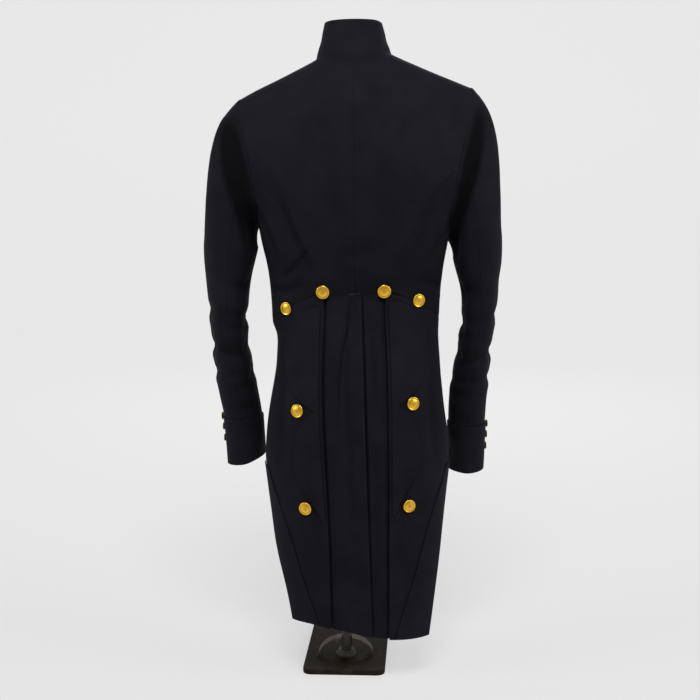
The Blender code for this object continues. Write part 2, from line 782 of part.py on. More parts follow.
def make_turnbacks():
    """The skirt's front edge turned back on itself, down to the hem."""
    for side in (LEFT, RIGHT):
        places = []
        for climb in TURNBACK_LEVELS:
            row = []
            for i in range(TURNBACK_COLUMNS + 1):
                share = i / TURNBACK_COLUMNS
                height = TURNBACK["height"][0]
                for _ in range(4):
                    near_angle = skirt_angle(side, read(TURNBACK, "out", height), height)
                    far_angle = read(SKIRT, "edge", height) - TURNBACK_INSET
                    angle = mix(min(near_angle, far_angle - TURNBACK_INSET), far_angle, share)
                    x = skirt_point(side, angle, height)[0]
                    height = mix(hem_height(x) + TURNBACK_CLEAR, TURNBACK["height"][-1], climb)
                row.append((skirt_point(side, angle, height), normal_of(skirt_point, side, angle, height)))
            places.append(row)
        laid_on(f"turnback_{SIDE_NAMES[side]}", places, TURNBACK_WALL)


def neck_line(side):
    """The neck seam from the centre back to the centre front, as outer points."""
    shares = [share for share in column_shares(side) if share * SHOULDER_TIP[side] <= NECK_HALF + 1e-6]
    back = [coat_point(side, ARMHOLE_BACK * share, ARCH_END) for share in shares]
    front_shares = [NECK_HALF / SHOULDER_TIP[side] * share for share in FRONT_NECK_SHARES]
    front = [coat_point(side, 180 - ARMHOLE_BACK * share, ARCH_END) for share in front_shares]
    return back + front


def make_collar():
    """A stand collar on the neck seam, open at the centre front."""
    right = neck_line(RIGHT)
    left = neck_line(LEFT)
    ring = list(reversed(left))[:-1] + right
    ring[0] = ring[0] + np.array((-COLLAR_OPEN, 0, 0))
    ring[-1] = ring[-1] + np.array((COLLAR_OPEN, 0, 0))
    middle = COLLAR_DRIFT
    outer_rows, inner_rows = [], []
    for climb in COLLAR_ROWS:
        outer_row, inner_row = [], []
        for point in ring:
            bearing = math.atan2(point[0] - middle, -(point[1] - RIDGE_Y))
            reach_y = COLLAR_TOP_BACK if math.cos(bearing) > 0 else COLLAR_TOP_FRONT
            top = np.array(
                (
                    middle + COLLAR_TOP_HALF * math.sin(bearing),
                    RIDGE_Y - reach_y * math.cos(bearing),
                    COLLAR_TOP_Z - COLLAR_FALL * ((1 - math.cos(bearing)) / 2) ** COLLAR_FALL_POWER,
                )
            )
            low = point + np.array((0, 0, COLLAR_GAP))
            place = mix(low, top, climb**COLLAR_HOLLOW)
            place[2] = mix(low[2], top[2], climb)
            away = unit(np.array((place[0] - middle, place[1] - RIDGE_Y, 0.0)))
            outer_row.append(place)
            inner_row.append(place - away * WALL)
        outer_rows.append(outer_row)
        inner_rows.append(inner_row)
    wall("collar", np.array(outer_rows), np.array(inner_rows))


def armhole_loop(side):
    """The armhole's points, from the shoulder tip down the back, under the arm and up the front."""
    places = [(ARMHOLE_BACK, height) for height in reversed(upper_heights(SIDE_BACK_TOP))]
    places += [back_scoop(side, i / SIDE_COLUMNS) for i in range(SIDE_COLUMNS + 1)]
    places += [front_scoop(side, i / SCOOP_STEPS) for i in range(1, SCOOP_STEPS + 1)]
    places += [(ARMHOLE_FRONT, height) for height in upper_heights(FRONT_SCOOP_TOP)[:-1]]
    return np.array([coat_point(side, angle, height) for angle, height in places])


def sleeve_ring(side, height, bearings):
    """A level ellipse of the sleeve at the loop's bearings."""
    values = SLEEVE[side]
    flipped = {name: list(reversed(column)) for name, column in values.items()}
    centre = read(flipped, "centre", height)
    wide = read(flipped, "wide", height)
    forward = read(flipped, "forward", height)
    deep = read(flipped, "deep", height)
    return np.array(
        [(side * (centre + wide * math.cos(b)), forward + deep * math.sin(b), height) for b in bearings]
    )


def sleeve_grid(side):
    """Rings of a sleeve from the armhole to the cuff, and its outward directions."""
    loop = armhole_loop(side)
    count = len(loop)
    start = loop + np.array((side * SLEEVE_START_GAP, 0, 0))
    bearings = [-2 * math.pi * i / count for i in range(count)]
    levels = SLEEVE[side]["height"]
    first = sleeve_ring(side, levels[0], bearings)
    rings = []
    for k in range(SLEEVE_CAP_RINGS + 1):
        t = k / SLEEVE_CAP_RINGS
        away = first - start
        length = np.linalg.norm(away, axis=1)[:, None]
        leave = np.array((side * CAP_OUT[side], 0.0, -CAP_DOWN)) * length * (t - 2 * t**2 + t**3)
        land = np.array((0.0, 0.0, -CAP_LAND)) * length * (t**3 - t**2)
        rings.append(start + away * (3 * t**2 - 2 * t**3) + leave + land)
    rings += [sleeve_ring(side, level, bearings) for level in levels[1:]]
    inner_drop, middle_drop, outer_drop = CUFF_SLANT[side]
    for point, b in zip(rings[-1], bearings):
        reach = math.cos(b)
        point[2] -= middle_drop + abs(reach) * ((outer_drop if reach > 0 else inner_drop) - middle_drop)
    outer = np.array(rings)
    along = np.roll(outer, -1, axis=1) - np.roll(outer, 1, axis=1)
    down = np.gradient(outer, axis=0)
    normals = np.cross(along, down) * side
    normals = normals / np.maximum(np.linalg.norm(normals, axis=2)[:, :, None], 1e-12)
    centre = outer.mean(axis=1, keepdims=True)
    inside = np.sum(normals * (outer - centre), axis=2, keepdims=True) < 0
    normals = np.where(inside & (np.arange(len(outer)) > 1)[:, None, None], -normals, normals)
    flat = centre[0] - outer[0]
    flat[:, 0] = 0
    normals[0] = -flat / np.linalg.norm(flat, axis=1)[:, None]
    return outer, normals


HIND_SEAM = 5
FRONT_SEAM = 15


def make_sleeves():
    """Two-piece sleeves and round cuffs. The seams run down the hind arm and the fore arm."""
    for side in (LEFT, RIGHT):
        name = SIDE_NAMES[side]
        outer, normals = sleeve_grid(side)
        count = outer.shape[1]
        under = list(range(HIND_SEAM, FRONT_SEAM + 1))
        upper = [i % count for i in range(FRONT_SEAM, count + HIND_SEAM + 1)]
        for label, columns in (("upper", upper), ("under", under)):
            part = pull_edges(outer[:, columns], normals[:, columns], ("start", "end"))
            wall(f"sleeve_{label}_{name}", part, part - normals[:, columns] * WALL)
        low = outer[-CUFF_ROWS:].copy()
        facing = normals[-CUFF_ROWS:]
        low[-1, :, 2] -= CUFF_DROP
        wall(f"cuff_{name}", low + facing * (CUFF_LIFT + WALL), low + facing * CUFF_LIFT, closed=True)


def button(name, place, direction, size, lift):
    """A round gilt button: a low dome in a raised rim, turned about the line it faces."""
    radius = size / 2
    profile = (
        (0.0, 0.0),
        (0.86 * radius, 0.0),
        (radius, 0.35 * BUTTON_THICK),
        (0.97 * radius, 0.72 * BUTTON_THICK),
        (0.82 * radius, 0.62 * BUTTON_THICK),
        (0.45 * radius, 0.90 * BUTTON_THICK),
        (0.0, BUTTON_THICK),
    )
    direction = unit(direction)
    across = unit(np.cross(direction, np.array((0.0, 0.0, 1.0))))
    upward = np.cross(direction, across)
    mesh = bmesh.new()
    rings = []
    for reach, rise in profile:
        centre = place + direction * (lift + rise)
        if reach == 0:
            rings.append([mesh.verts.new(centre)])
            continue
        spokes = [(across * math.cos(t) + upward * math.sin(t)) * reach for t in full_turn(BUTTON_SIDES)]
        rings.append([mesh.verts.new(centre + spoke) for spoke in spokes])
    for low, high in zip(rings, rings[1:]):
        for i in range(BUTTON_SIDES):
            k = (i + 1) % BUTTON_SIDES
            corners = [low[i % len(low)], low[k % len(low)], high[k % len(high)], high[i % len(high)]]
            unique = list(dict.fromkeys(corners))
            mesh.faces.new(unique)
    return new_object(name, mesh, GILT_FINISH)


def make_buttons():
    for side in (LEFT, RIGHT):
        name = SIDE_NAMES[side]
        angle = angle_out(HIP_BUTTON_OUT[side], read(BODY, name, HIP_BUTTON_Z))
        place = coat_point(side, angle, HIP_BUTTON_Z)
        facing = normal_of(coat_point, side, angle, HIP_BUTTON_Z)
        button(f"button_hip_{name}", place, facing, BUTTON_SIZE, HIP_BUTTON_LIFT)
        for i, (out, height) in enumerate(FLAP_BUTTONS[side]):
            place, facing = on_skirt(side, out, height)
            button(f"button_flap_{name}_{i + 1}", place, facing, BUTTON_SIZE, BUTTON_LIFT)
        for i, height in enumerate(CUFF_BUTTONS[side]):
            place = sleeve_ring(side, height, [CUFF_BUTTON_BEARING])[0]
            facing = np.array((side * math.cos(CUFF_BUTTON_FACING), math.sin(CUFF_BUTTON_FACING), 0.0))
            lift = CUFF_LIFT + WALL + CUFF_BUTTON_LIFT
            button(f"button_cuff_{name}_{i + 1}", place, facing, CUFF_BUTTON_SIZE, lift)
    for i in range(FRONT_BUTTONS):
        height = mix(FRONT_BUTTON_LOW, FRONT_BUTTON_HIGH, i / (FRONT_BUTTONS - 1))
        place = coat_point(LEFT, 179.99, height)
        facing = normal_of(coat_point, LEFT, 179.0, height)
        facing[0] = 0
        button(f"button_front_{i + 1}", place, facing, BUTTON_SIZE, BUTTON_LIFT)


def make_form():
    """The dress form: smooth, with no arms, inside the coat and under its shoulders."""
    quarter = [ARMHOLE_BACK * share for share in FORM_SHARES] + [FORM_SIDE_ANGLE]
    half = quarter + [90.0] + [180 - angle for angle in reversed(quarter)]
    loop = [(RIGHT, angle) for angle in half] + [(LEFT, angle) for angle in reversed(half[1:-1])]
    count = len(loop)
    mesh = bmesh.new()
    rings = []
    for level in FORM_LEVELS:
        inset = mix(FORM_EASE, FORM_WAIST_EASE, ease(ARCH_START, FORM_WAIST, level))
        rings.append([mesh.verts.new(coat_point(side, angle, level, inset)) for side, angle in loop])
    for low, high in zip(rings, rings[1:]):
        for i in range(count):
            k = (i + 1) % count
            mesh.faces.new((low[i], low[k], high[k], high[i]))
    mesh.faces.new(rings[0])
    bmesh.ops.remove_doubles(mesh, verts=mesh.verts, dist=1e-5)
    bmesh.ops.dissolve_degenerate(mesh, edges=mesh.edges, dist=1e-5)
    for share, height_share in FORM_NECK_STEPS:
        rim = [edge for edge in mesh.edges if len(edge.link_faces) == 1]
        made = bmesh.ops.extrude_edge_only(mesh, edges=rim)["geom"]
        for vert in [item for item in made if isinstance(item, bmesh.types.BMVert)]:
            bearing = math.atan2(vert.co.x - COLLAR_DRIFT, vert.co.y - RIDGE_Y)
            stub_x = COLLAR_DRIFT + FORM_NECK_RADIUS * math.sin(bearing)
            stub_y = RIDGE_Y + FORM_NECK_RADIUS * math.cos(bearing)
            vert.co.x = mix(vert.co.x, stub_x, share)
            vert.co.y = mix(vert.co.y, stub_y, share)
            vert.co.z = mix(vert.co.z, FORM_NECK_TOP, height_share)
    rim = [edge for edge in mesh.edges if len(edge.link_faces) == 1]
    bmesh.ops.edgeloop_fill(mesh, edges=rim)
    bmesh.ops.triangulate(mesh, faces=mesh.faces)
    new_object("form_torso", mesh, FORM_FINISH)


def turned(name, profile, sides, finish, lean=0.0):
    """A round solid from a profile of (radius, height). lean is how far x moves for each metre up."""
    mesh = bmesh.new()
    rings = []
    for radius, height in profile:
        spokes = [(lean * height + radius * math.cos(t), radius * math.sin(t)) for t in full_turn(sides)]
        rings.append([mesh.verts.new((x, y, height)) for x, y in spokes])
    for low, high in zip(rings, rings[1:]):
        for i in range(sides):
            k = (i + 1) % sides
            mesh.faces.new((low[i], low[k], high[k], high[i]))
    mesh.faces.new(rings[0])
    mesh.faces.new(rings[-1])
    new_object(name, mesh, finish, shift=0.0)


def make_base():
    """A flat iron plate with round corners, turned a little under the coat."""
    corners = (
        (BASE_WIDE / 2, -BASE_BACK, 180 + 90),
        (BASE_WIDE / 2, BASE_FRONT, 0),
        (-BASE_WIDE / 2, BASE_FRONT, 90),
        (-BASE_WIDE / 2, -BASE_BACK, 180),
    )
    outline = []
    for x, y, first in corners:
        centre_x = x - math.copysign(BASE_CORNER, x)
        centre_y = y - math.copysign(BASE_CORNER, y)
        for step in range(5):
            turn = math.radians(first + 90 * step / 4)
            outline.append((centre_x + BASE_CORNER * math.cos(turn), centre_y + BASE_CORNER * math.sin(turn)))
    mesh = bmesh.new()
    turn = (math.cos(BASE_TURN), math.sin(BASE_TURN))
    rings = []
    for inset, height in ((0.0, 0.0), (0.0, BASE_THICK - BASE_EDGE), (BASE_EDGE, BASE_THICK)):
        ring = []
        for x, y in outline:
            x = x - math.copysign(inset, x)
            y = y - math.copysign(inset, y)
            ring.append(mesh.verts.new((x * turn[0] + y * turn[1], y * turn[0] - x * turn[1], height)))
        rings.append(ring)
    for low, high in zip(rings, rings[1:]):
        for i in range(len(low)):
            k = (i + 1) % len(low)
            mesh.faces.new((low[i], low[k], high[k], high[i]))
    mesh.faces.new(rings[0])
    mesh.faces.new(rings[-1])
    new_object("stand_base", mesh, IRON_FINISH, shift=0.0)


def make_braces():
    """An arched flat bar over the post's foot, in two halves."""
    foot = BASE_THICK + TOUCH
    lean = COAT_X / POST_TOP
    for side in (LEFT, RIGHT):
        reach_in = POST_RADIUS + TOUCH + side * lean * (foot + BRACE_RISE)
        last = math.acos(reach_in / BRACE_REACH)
        outer_rows, inner_rows = [], []
        for step in range(BRACE_STEPS + 1):
            turn = last * step / BRACE_STEPS
            outer_x = BRACE_REACH * math.cos(turn)
            inner_x = max((BRACE_REACH - BRACE_THICK) * math.cos(turn), reach_in)
            outer_z = foot + BRACE_RISE * math.sin(turn)
            inner_z = foot + (BRACE_RISE - BRACE_THICK) * math.sin(turn)
            outer_rows.append([(side * outer_x, y, outer_z) for y in (-BRACE_WIDE / 2, BRACE_WIDE / 2)])
            inner_rows.append([(side * inner_x, y, inner_z) for y in (-BRACE_WIDE / 2, BRACE_WIDE / 2)])
        name = f"brace_{SIDE_NAMES[side]}"
        wall(name, np.array(outer_rows), np.array(inner_rows), finish=STEEL_FINISH, shift=0.0)


def make_stand():
    lean = COAT_X / POST_TOP
    flange_low = BASE_THICK + TOUCH
    flange_top = flange_low + FLANGE_HEIGHT
    flange = (
        (FLANGE_RADIUS, flange_low),
        (FLANGE_RADIUS, flange_low + 0.35 * FLANGE_HEIGHT),
        (0.70 * FLANGE_RADIUS, flange_top),
    )
    turned("stand_flange", flange, POST_SIDES, STEEL_FINISH)
    post = ((POST_RADIUS, flange_top + TOUCH), (POST_RADIUS, FORM_FOOT - TOUCH))
    turned("stand_post", post, POST_SIDES, STEEL_FINISH, lean=lean)
    make_base()
    make_braces()


def main():
    for item in list(bpy.data.objects):
        bpy.data.objects.remove(item)
    make_backs()
    make_side_bodies()
    make_fronts()
    make_skirts()
    make_flaps()
    make_turnbacks()
    make_collar()
    make_sleeves()
    make_buttons()
    make_form()
    make_stand()


main()
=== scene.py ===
# %% [markdown]
# # A wool tailcoat on a dress form
#
# The coat is a dark blue-black tailcoat with a stand collar, gilt buttons, pleated tails and
# scalloped flaps. A dress form with no arms wears it, on a post with an iron foot plate. The packed
# model gives each cut piece of cloth as a thin wall of a few hundred faces. This lesson turns those
# walls into cloth, and gives every other piece the finish of the real one.

import math

import bmesh
import bpy
import numpy as np
from mathutils import Matrix, Vector, kdtree


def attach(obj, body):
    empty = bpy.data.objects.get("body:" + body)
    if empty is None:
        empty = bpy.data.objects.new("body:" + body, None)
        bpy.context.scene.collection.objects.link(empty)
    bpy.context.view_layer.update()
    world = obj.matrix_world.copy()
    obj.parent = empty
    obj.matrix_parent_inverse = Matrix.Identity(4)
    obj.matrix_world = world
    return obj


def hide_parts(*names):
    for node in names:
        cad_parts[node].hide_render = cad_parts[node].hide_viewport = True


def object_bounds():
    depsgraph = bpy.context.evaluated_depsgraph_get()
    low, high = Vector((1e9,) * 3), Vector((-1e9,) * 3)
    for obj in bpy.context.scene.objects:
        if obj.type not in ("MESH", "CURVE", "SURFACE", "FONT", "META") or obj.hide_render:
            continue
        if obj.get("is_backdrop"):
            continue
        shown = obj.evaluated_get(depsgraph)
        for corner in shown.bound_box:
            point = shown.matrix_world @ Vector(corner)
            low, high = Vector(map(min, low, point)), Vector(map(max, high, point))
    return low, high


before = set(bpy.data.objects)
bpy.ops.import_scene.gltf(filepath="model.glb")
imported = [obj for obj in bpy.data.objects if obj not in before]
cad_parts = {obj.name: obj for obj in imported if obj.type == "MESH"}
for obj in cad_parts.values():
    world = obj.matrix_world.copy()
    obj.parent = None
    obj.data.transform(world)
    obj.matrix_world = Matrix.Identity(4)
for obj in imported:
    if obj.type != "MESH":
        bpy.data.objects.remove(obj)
cad_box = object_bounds()
bpy.ops.object.select_all(action="DESELECT")
print("model box", [round(v, 3) for corner in cad_box for v in corner])

# %% [markdown]
# ## The camera and the light
#
# The photograph looks at the coat's back from about two metres, and a little downwards. Its focal
# length was found from how the coat's near and far parts line up. Black wool shows its form only
# where light rakes over it, so the lights are large and soft: one on each side, one above the
# camera, and a weak one behind the coat that parts its outline from the wall.

# %% Camera
COAT_X = 0.028
EYE = (COAT_X, -2.12, 0.985)
PITCH = math.atan2(0.323, 2.0)
ROLL = math.radians(-0.8)
FOCAL_PIXELS = 1093.0
PHOTO_WIDTH = 700
SHIFT_PIXELS = -5.5
SENSOR_WIDTH = 36.0

camera_data = bpy.data.cameras.new("camera")
camera_data.sensor_width = SENSOR_WIDTH
camera_data.lens = SENSOR_WIDTH * FOCAL_PIXELS / PHOTO_WIDTH
camera_data.shift_x = SHIFT_PIXELS / PHOTO_WIDTH
camera = bpy.data.objects.new("camera", camera_data)
bpy.context.scene.collection.objects.link(camera)
camera.matrix_world = (
    Matrix.Translation(EYE)
    @ Matrix.Rotation(math.pi / 2 - PITCH, 4, "X")
    @ Matrix.Rotation(ROLL, 4, "Z")
)
bpy.context.scene.camera = camera
print("lens", round(camera_data.lens, 1), "mm")

# %% Lights
# name, place, height that it aims at, width in metres, power in watts
LIGHTS = (
    ("side_left", (-2.9, -0.9, 1.7), 0.7, 1.2, 34),
    ("side_right", (2.9, -1.0, 1.8), 0.7, 1.2, 38),
    ("overhead", (0.1, -2.0, 3.3), 1.0, 1.3, 95),
    ("behind", (0.4, 2.6, 2.2), 0.8, 1.6, 24),
)
STUDIO_GREY = 0.79
STUDIO_STRENGTH = 0.38


def soft_light(name, place, aim_height, size, power):
    """A square area light that faces a point on the upright axis."""
    data = bpy.data.lights.new(name, "AREA")
    data.size = size
    data.energy = power
    light = bpy.data.objects.new(name, data)
    light.location = place
    way = Vector((0.0, 0.0, aim_height)) - Vector(place)
    light.rotation_euler = way.to_track_quat("-Z", "Y").to_euler()
    bpy.context.scene.collection.objects.link(light)


for row in LIGHTS:
    soft_light(*row)

world = bpy.data.worlds.new("studio")
world.use_nodes = True
background = world.node_tree.nodes["Background"]
background.inputs["Color"].default_value = (STUDIO_GREY, STUDIO_GREY, STUDIO_GREY, 1)
background.inputs["Strength"].default_value = STUDIO_STRENGTH
bpy.context.scene.world = world
bpy.context.scene.view_settings.view_transform = "Standard"
print(len(LIGHTS), "lights")

# %% [markdown]
# ## Shader maths as plain expressions
#
# A finish is a small sum of patterns. Wiring each sum by hand takes many lines, so one class wraps
# a socket and lets patterns be added and multiplied like numbers.

# %% A wire in a material
class Wire:
    """One output of a material's node tree."""

    def __init__(self, tree, socket=None):
        self.tree = tree
        self.socket = socket

    def node(self, kind, values, out=0, stops=None, **settings):
        """Adds a node: its settings, then a ramp's stops, then the values or wires of its inputs."""
        made = self.tree.nodes.new(kind)
        for name, setting in settings.items():
            setattr(made, name, setting)
        for i, (place, colour) in enumerate(stops or ()):
            if i > 1:
                made.color_ramp.elements.new(place)
            made.color_ramp.elements[i].position = place
            made.color_ramp.elements[i].color = (*colour, 1)
        for key, value in values.items():
            if isinstance(value, Wire):
                self.tree.links.new(value.socket, made.inputs[key])
            else:
                made.inputs[key].default_value = value
        return Wire(self.tree, made.outputs[out])

    def maths(self, operation, first, second):
        return self.node("ShaderNodeMath", {0: first, 1: second}, operation=operation)

    def __add__(self, other):
        return self.maths("ADD", self, other)

    __radd__ = __add__

    def __mul__(self, other):
        return self.maths("MULTIPLY", self, other)

    __rmul__ = __mul__

    def __sub__(self, other):
        return self.maths("SUBTRACT", self, other)

    def __rsub__(self, other):
        return self.maths("SUBTRACT", other, self)

    def wave(self):
        """The sine of this, in radians."""
        return self.node("ShaderNodeMath", {0: self}, operation="SINE")

    def size(self):
        """This without its sign."""
        return self.node("ShaderNodeMath", {0: self}, operation="ABSOLUTE")

    def clamped(self, low, high):
        """0 where this is low, 1 where it is high, smooth between."""
        values = {0: self, 1: low, 2: high, 3: 0.0, 4: 1.0}
        return self.node("ShaderNodeMapRange", values, interpolation_type="SMOOTHSTEP")

    def noise(self, scale, detail=3.0, roughness=0.55):
        """Smooth noise at this place. scale is in patches a metre."""
        values = {"Vector": self, "Scale": scale, "Detail": detail, "Roughness": roughness}
        return self.node("ShaderNodeTexNoise", values)

    def stretched(self, x, y, z):
        """This place, scaled by a different amount along each axis."""
        return self.node("ShaderNodeMapping", {"Vector": self, "Scale": (x, y, z)})

    def part(self, name):
        """This place's X, Y or Z."""
        return self.node("ShaderNodeSeparateXYZ", {0: self}, out="XYZ".index(name))

    def turn(self):
        """This place's angle round the upright axis, in radians."""
        return self.maths("ARCTAN2", self.part("X"), self.part("Y"))

    def kept(self, name):
        """The attribute of this name that the piece keeps at its points."""
        return self.node("ShaderNodeAttribute", {}, out=2, attribute_name=name)

    def over(self, colour, cover):
        """A wired colour where this is 0, and the cover's colour where it is 1."""
        values = {"Factor": self, 6: colour, 7: (*cover, 1)}
        return self.node("ShaderNodeMix", values, out=2, data_type="RGBA")

    def blend(self, first, second):
        """The first colour where this is 0 and the second where it is 1."""
        return self.over((*first, 1), second)


def new_finish(name, **constants):
    """A material with constant socket values, and a wire on its object coordinates."""
    material = bpy.data.materials.new(name)
    material.use_nodes = True
    shader = material.node_tree.nodes["Principled BSDF"]
    for socket, value in constants.items():
        shader.inputs[socket.replace("_", " ")].default_value = value
    place = Wire(material.node_tree).node("ShaderNodeTexCoord", {}, out=3)
    return material, shader, place


def feed(shader, socket, wire):
    """Leads a wire to one of the shader's sockets."""
    wire.tree.links.new(wire.socket, shader.inputs[socket])


def relief(shader, wire, distance, strength=1.0):
    """Feeds a height to the shader's normal. distance is the height in metres of a value of 1."""
    values = {"Height": wire, "Distance": distance, "Strength": strength}
    feed(shader, "Normal", wire.node("ShaderNodeBump", values))


print("a wire can be", ", ".join(name for name in vars(Wire) if not name.startswith("_")))

# %% [markdown]
# ## The wool
#
# The cloth is a fulled broadcloth: a plain weave beaten until its fibres mat together. Close to, it
# shows a short nap lying one way, with the threads only just visible under it. From further off it
# is matt, a little paler where the nap is brushed up or worn. The weave is two fine waves, the nap
# is noise drawn out along the cloth's length, and the wear is broad patches. A little sheen lifts
# the edges that turn away, which is what makes black wool look soft. Shade is also painted into the
# colour: each point keeps its share of painted shade as an attribute, and the fullest share is darkest.

# %% Wool
THREADS = 900.0
FULL_TURN = 6.283
# the colour at full painted shade, as a share of the wool's dark shade
PAINTED_SHADE_SHARE = 0.25


def wool(name, dark, pale):
    """Fulled wool, darkened by each point's painted shade. dark and pale are its two shades."""
    material, shader, place = new_finish(
        name, Sheen_Weight=0.025, Sheen_Roughness=0.45, Specular_IOR_Level=0.08, Metallic=0.0
    )
    shader.inputs["Sheen Tint"].default_value = (0.42, 0.42, 0.62, 1)
    nap = place.stretched(1.0, 1.0, 0.22).noise(2600.0, 2.0)
    matted = place.noise(520.0, 4.0, 0.62)
    wear = place.noise(22.0, 4.0, 0.6)
    broad = place.noise(5.5, 2.0)
    warp = ((place.part("X") + place.part("Y")) * (THREADS * FULL_TURN)).wave()
    weft = (place.part("Z") * (THREADS * FULL_TURN)).wave()
    thread = warp * weft
    # painted shade in the colour: fold floors, cloth beside laid pieces, the waist and the inner arms
    hollow = place.kept("hollow").clamped(0.0, 1.0)
    shade = nap * 0.30 + matted * 0.25 + wear * 0.30 + broad * 0.25 + thread * 0.02
    worn = shade.clamped(0.36, 0.74).blend(dark, pale)
    painted_shade_colour = tuple(value * PAINTED_SHADE_SHARE for value in dark)
    feed(shader, "Base Color", hollow.over(worn, painted_shade_colour))
    feed(shader, "Roughness", 0.80 + matted * 0.16)
    relief(shader, nap * 0.45 + matted * 0.45 + thread * 0.10, 0.00035, 0.55)
    return material


coat_wool = wool("coat_wool", (0.0034, 0.0031, 0.0050), (0.0078, 0.0072, 0.0106))
facing_wool = wool("turned_wool", (0.0038, 0.0035, 0.0055), (0.0084, 0.0078, 0.0113))
print("wool", len(coat_wool.node_tree.nodes), "nodes")

# %% [markdown]
# ## The cut pieces of the coat
#
# Each piece in the model is a closed wall 2 mm thick, made of loose triangles about 20 mm across. A
# copy is merged and its triangles are paired back into quads. Subdivision then rounds the panel
# without moving its seams: every rim edge is creased, and so is each corner point. This keeps the
# form that was measured, and gives points close enough together to hold folds.

# %% A panel from its wall
RIM_ANGLE = math.radians(58)
CORNER_ANGLE = math.radians(35)
SMOOTH_ANGLE = math.radians(50)
MERGE_DISTANCE = 2e-5
PAIRING = {"face_threshold": math.radians(40), "shape_threshold": math.radians(80)}
ROUNDING_PASSES = 2


def pick(piece):
    """Makes a piece the only one that is selected, and the active one."""
    bpy.ops.object.select_all(action="DESELECT")
    piece.select_set(True)
    bpy.context.view_layer.objects.active = piece


def copy_node(node, name):
    """A node's mesh as a new piece, merged and with its triangles paired into quads."""
    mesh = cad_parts[node].data.copy()
    piece = bpy.data.objects.new(name, mesh)
    bpy.context.scene.collection.objects.link(piece)
    pick(piece)
    bpy.ops.object.mode_set(mode="EDIT")
    bpy.ops.mesh.select_all(action="SELECT")
    bpy.ops.mesh.remove_doubles(threshold=MERGE_DISTANCE)
    bpy.ops.mesh.tris_convert_to_quads(**PAIRING)
    bpy.ops.object.mode_set(mode="OBJECT")
    if mesh.has_custom_normals:
        bpy.ops.mesh.customdata_custom_splitnormals_clear()
    mesh.materials.clear()
    return piece


def crease_rims(piece):
    """Creases the wall's rims, and the points where a rim turns a corner."""
    shape = bmesh.new()
    shape.from_mesh(piece.data)
    edge_layers = shape.edges.layers.float
    edge_crease = edge_layers.get("crease_edge") or edge_layers.new("crease_edge")
    point_layers = shape.verts.layers.float
    point_crease = point_layers.get("crease_vert") or point_layers.new("crease_vert")
    rims = {edge for edge in shape.edges if edge.calc_face_angle(0) > RIM_ANGLE}
    for edge in rims:
        edge[edge_crease] = 1.0
    for vert in shape.verts:
        mine = [edge for edge in vert.link_edges if edge in rims]
        if len(mine) == 2:
            first, second = (edge.other_vert(vert).co - vert.co for edge in mine)
            if first.angle(-second, 0) > CORNER_ANGLE:
                vert[point_crease] = 1.0
        elif len(mine) > 2:
            vert[point_crease] = 1.0
    shape.to_mesh(piece.data)
    shape.free()


def points_of(piece):
    """A piece's points, a row each."""
    flat = np.empty(len(piece.data.vertices) * 3)
    piece.data.vertices.foreach_get("co", flat)
    return flat.reshape(-1, 3)


def set_points(piece, points):
    """Puts a piece's points where the rows say."""
    piece.data.vertices.foreach_set("co", points.astype(np.float32).ravel())
    piece.data.update()


def smooth_panel(piece, levels):
    """Subdivides a panel. Rounding draws each point in, so it first goes out by what it would lose."""
    pick(piece)
    crease_rims(piece)
    rounding = piece.modifiers.new("rounding", "SUBSURF")
    rounding.levels = levels
    rounding.render_levels = levels
    measured = points_of(piece)
    for _ in range(ROUNDING_PASSES):
        rounded = piece.evaluated_get(bpy.context.evaluated_depsgraph_get())
        set_points(piece, points_of(piece) + measured - points_of(rounded)[: len(measured)])
        bpy.context.view_layer.update()
    bpy.ops.object.modifier_apply(modifier=rounding.name)
    bpy.ops.object.shade_smooth_by_angle(angle=SMOOTH_ANGLE)
    return float(np.abs(points_of(piece)[: len(measured)] - measured).max())


# %% All the panels
SIDES = {"left": -1, "right": 1}
BODY_KINDS = ("back", "side", "front", "skirt", "flap", "turnback")
SLEEVE_KINDS = ("sleeve_upper", "sleeve_under")
CLOTH_LEVEL = 3

nodes = [f"{kind}_{side}" for kind in (*BODY_KINDS, *SLEEVE_KINDS, "cuff") for side in SIDES]
panels = {}
for node in (*nodes, "collar"):
    panels[node] = copy_node(node, f"cloth_{node}")
    left_over = smooth_panel(panels[node], CLOTH_LEVEL)
    print(node, "points lie within", round(left_over * 1000, 2), "mm of the measured ones")
print(len(panels), "panels,", sum(len(p.data.polygons) for p in panels.values()), "faces")

# %% [markdown]
# ## Folds, placed one by one
#
# Cloth that hangs on a form falls in long soft troughs, and pulls into short slanting ones where it
# is strained: under the arm, at the elbow and at the waist. Each fold is a row of a table. Its path
# is given by points round the body (in degrees from the centre back, towards the wearer's right)
# and up it. A fold's floor sinks by its depth, and a lower ridge rises beside it, as it does when
# cloth is pushed aside. Every piece is moved by the same field, so seams stay shut.

# %% The fold field
def unit_rows(rows):
    """Each row's direction, one long."""
    return rows / np.maximum(np.linalg.norm(rows, axis=1), 1e-9)[:, None]


def smooth_step(low, high, value):
    """0 at the low value, 1 at the high one, smooth between."""
    share = np.clip((value - low) / (high - low), 0, 1)
    return share * share * (3 - 2 * share)


class Body:
    """The trunk and tails, as the upper half of an egg on an upright tube."""

    middle = (COAT_X + 0.003, 0.0)
    radius = 0.15
    chest = 0.90
    half_width = 0.18
    half_depth = 0.12
    half_height = 0.36
    side = 1

    def centre(self, points):
        """The middle at each point's height."""
        return np.tile(self.middle, (len(points), 1))

    def outward(self, points):
        """The way out of the cloth at each point."""
        away = points[:, :2] - self.centre(points)
        rise = np.maximum(points[:, 2] - self.chest, 0) / self.half_height**2
        across, back = away[:, 0] / self.half_width**2, away[:, 1] / self.half_depth**2
        return unit_rows(np.column_stack([across, back, rise]))

    def bearing(self, points):
        """Degrees from the centre back."""
        away = points[:, :2] - self.centre(points)
        return np.degrees(np.arctan2(away[:, 0] * self.side, -away[:, 1]))


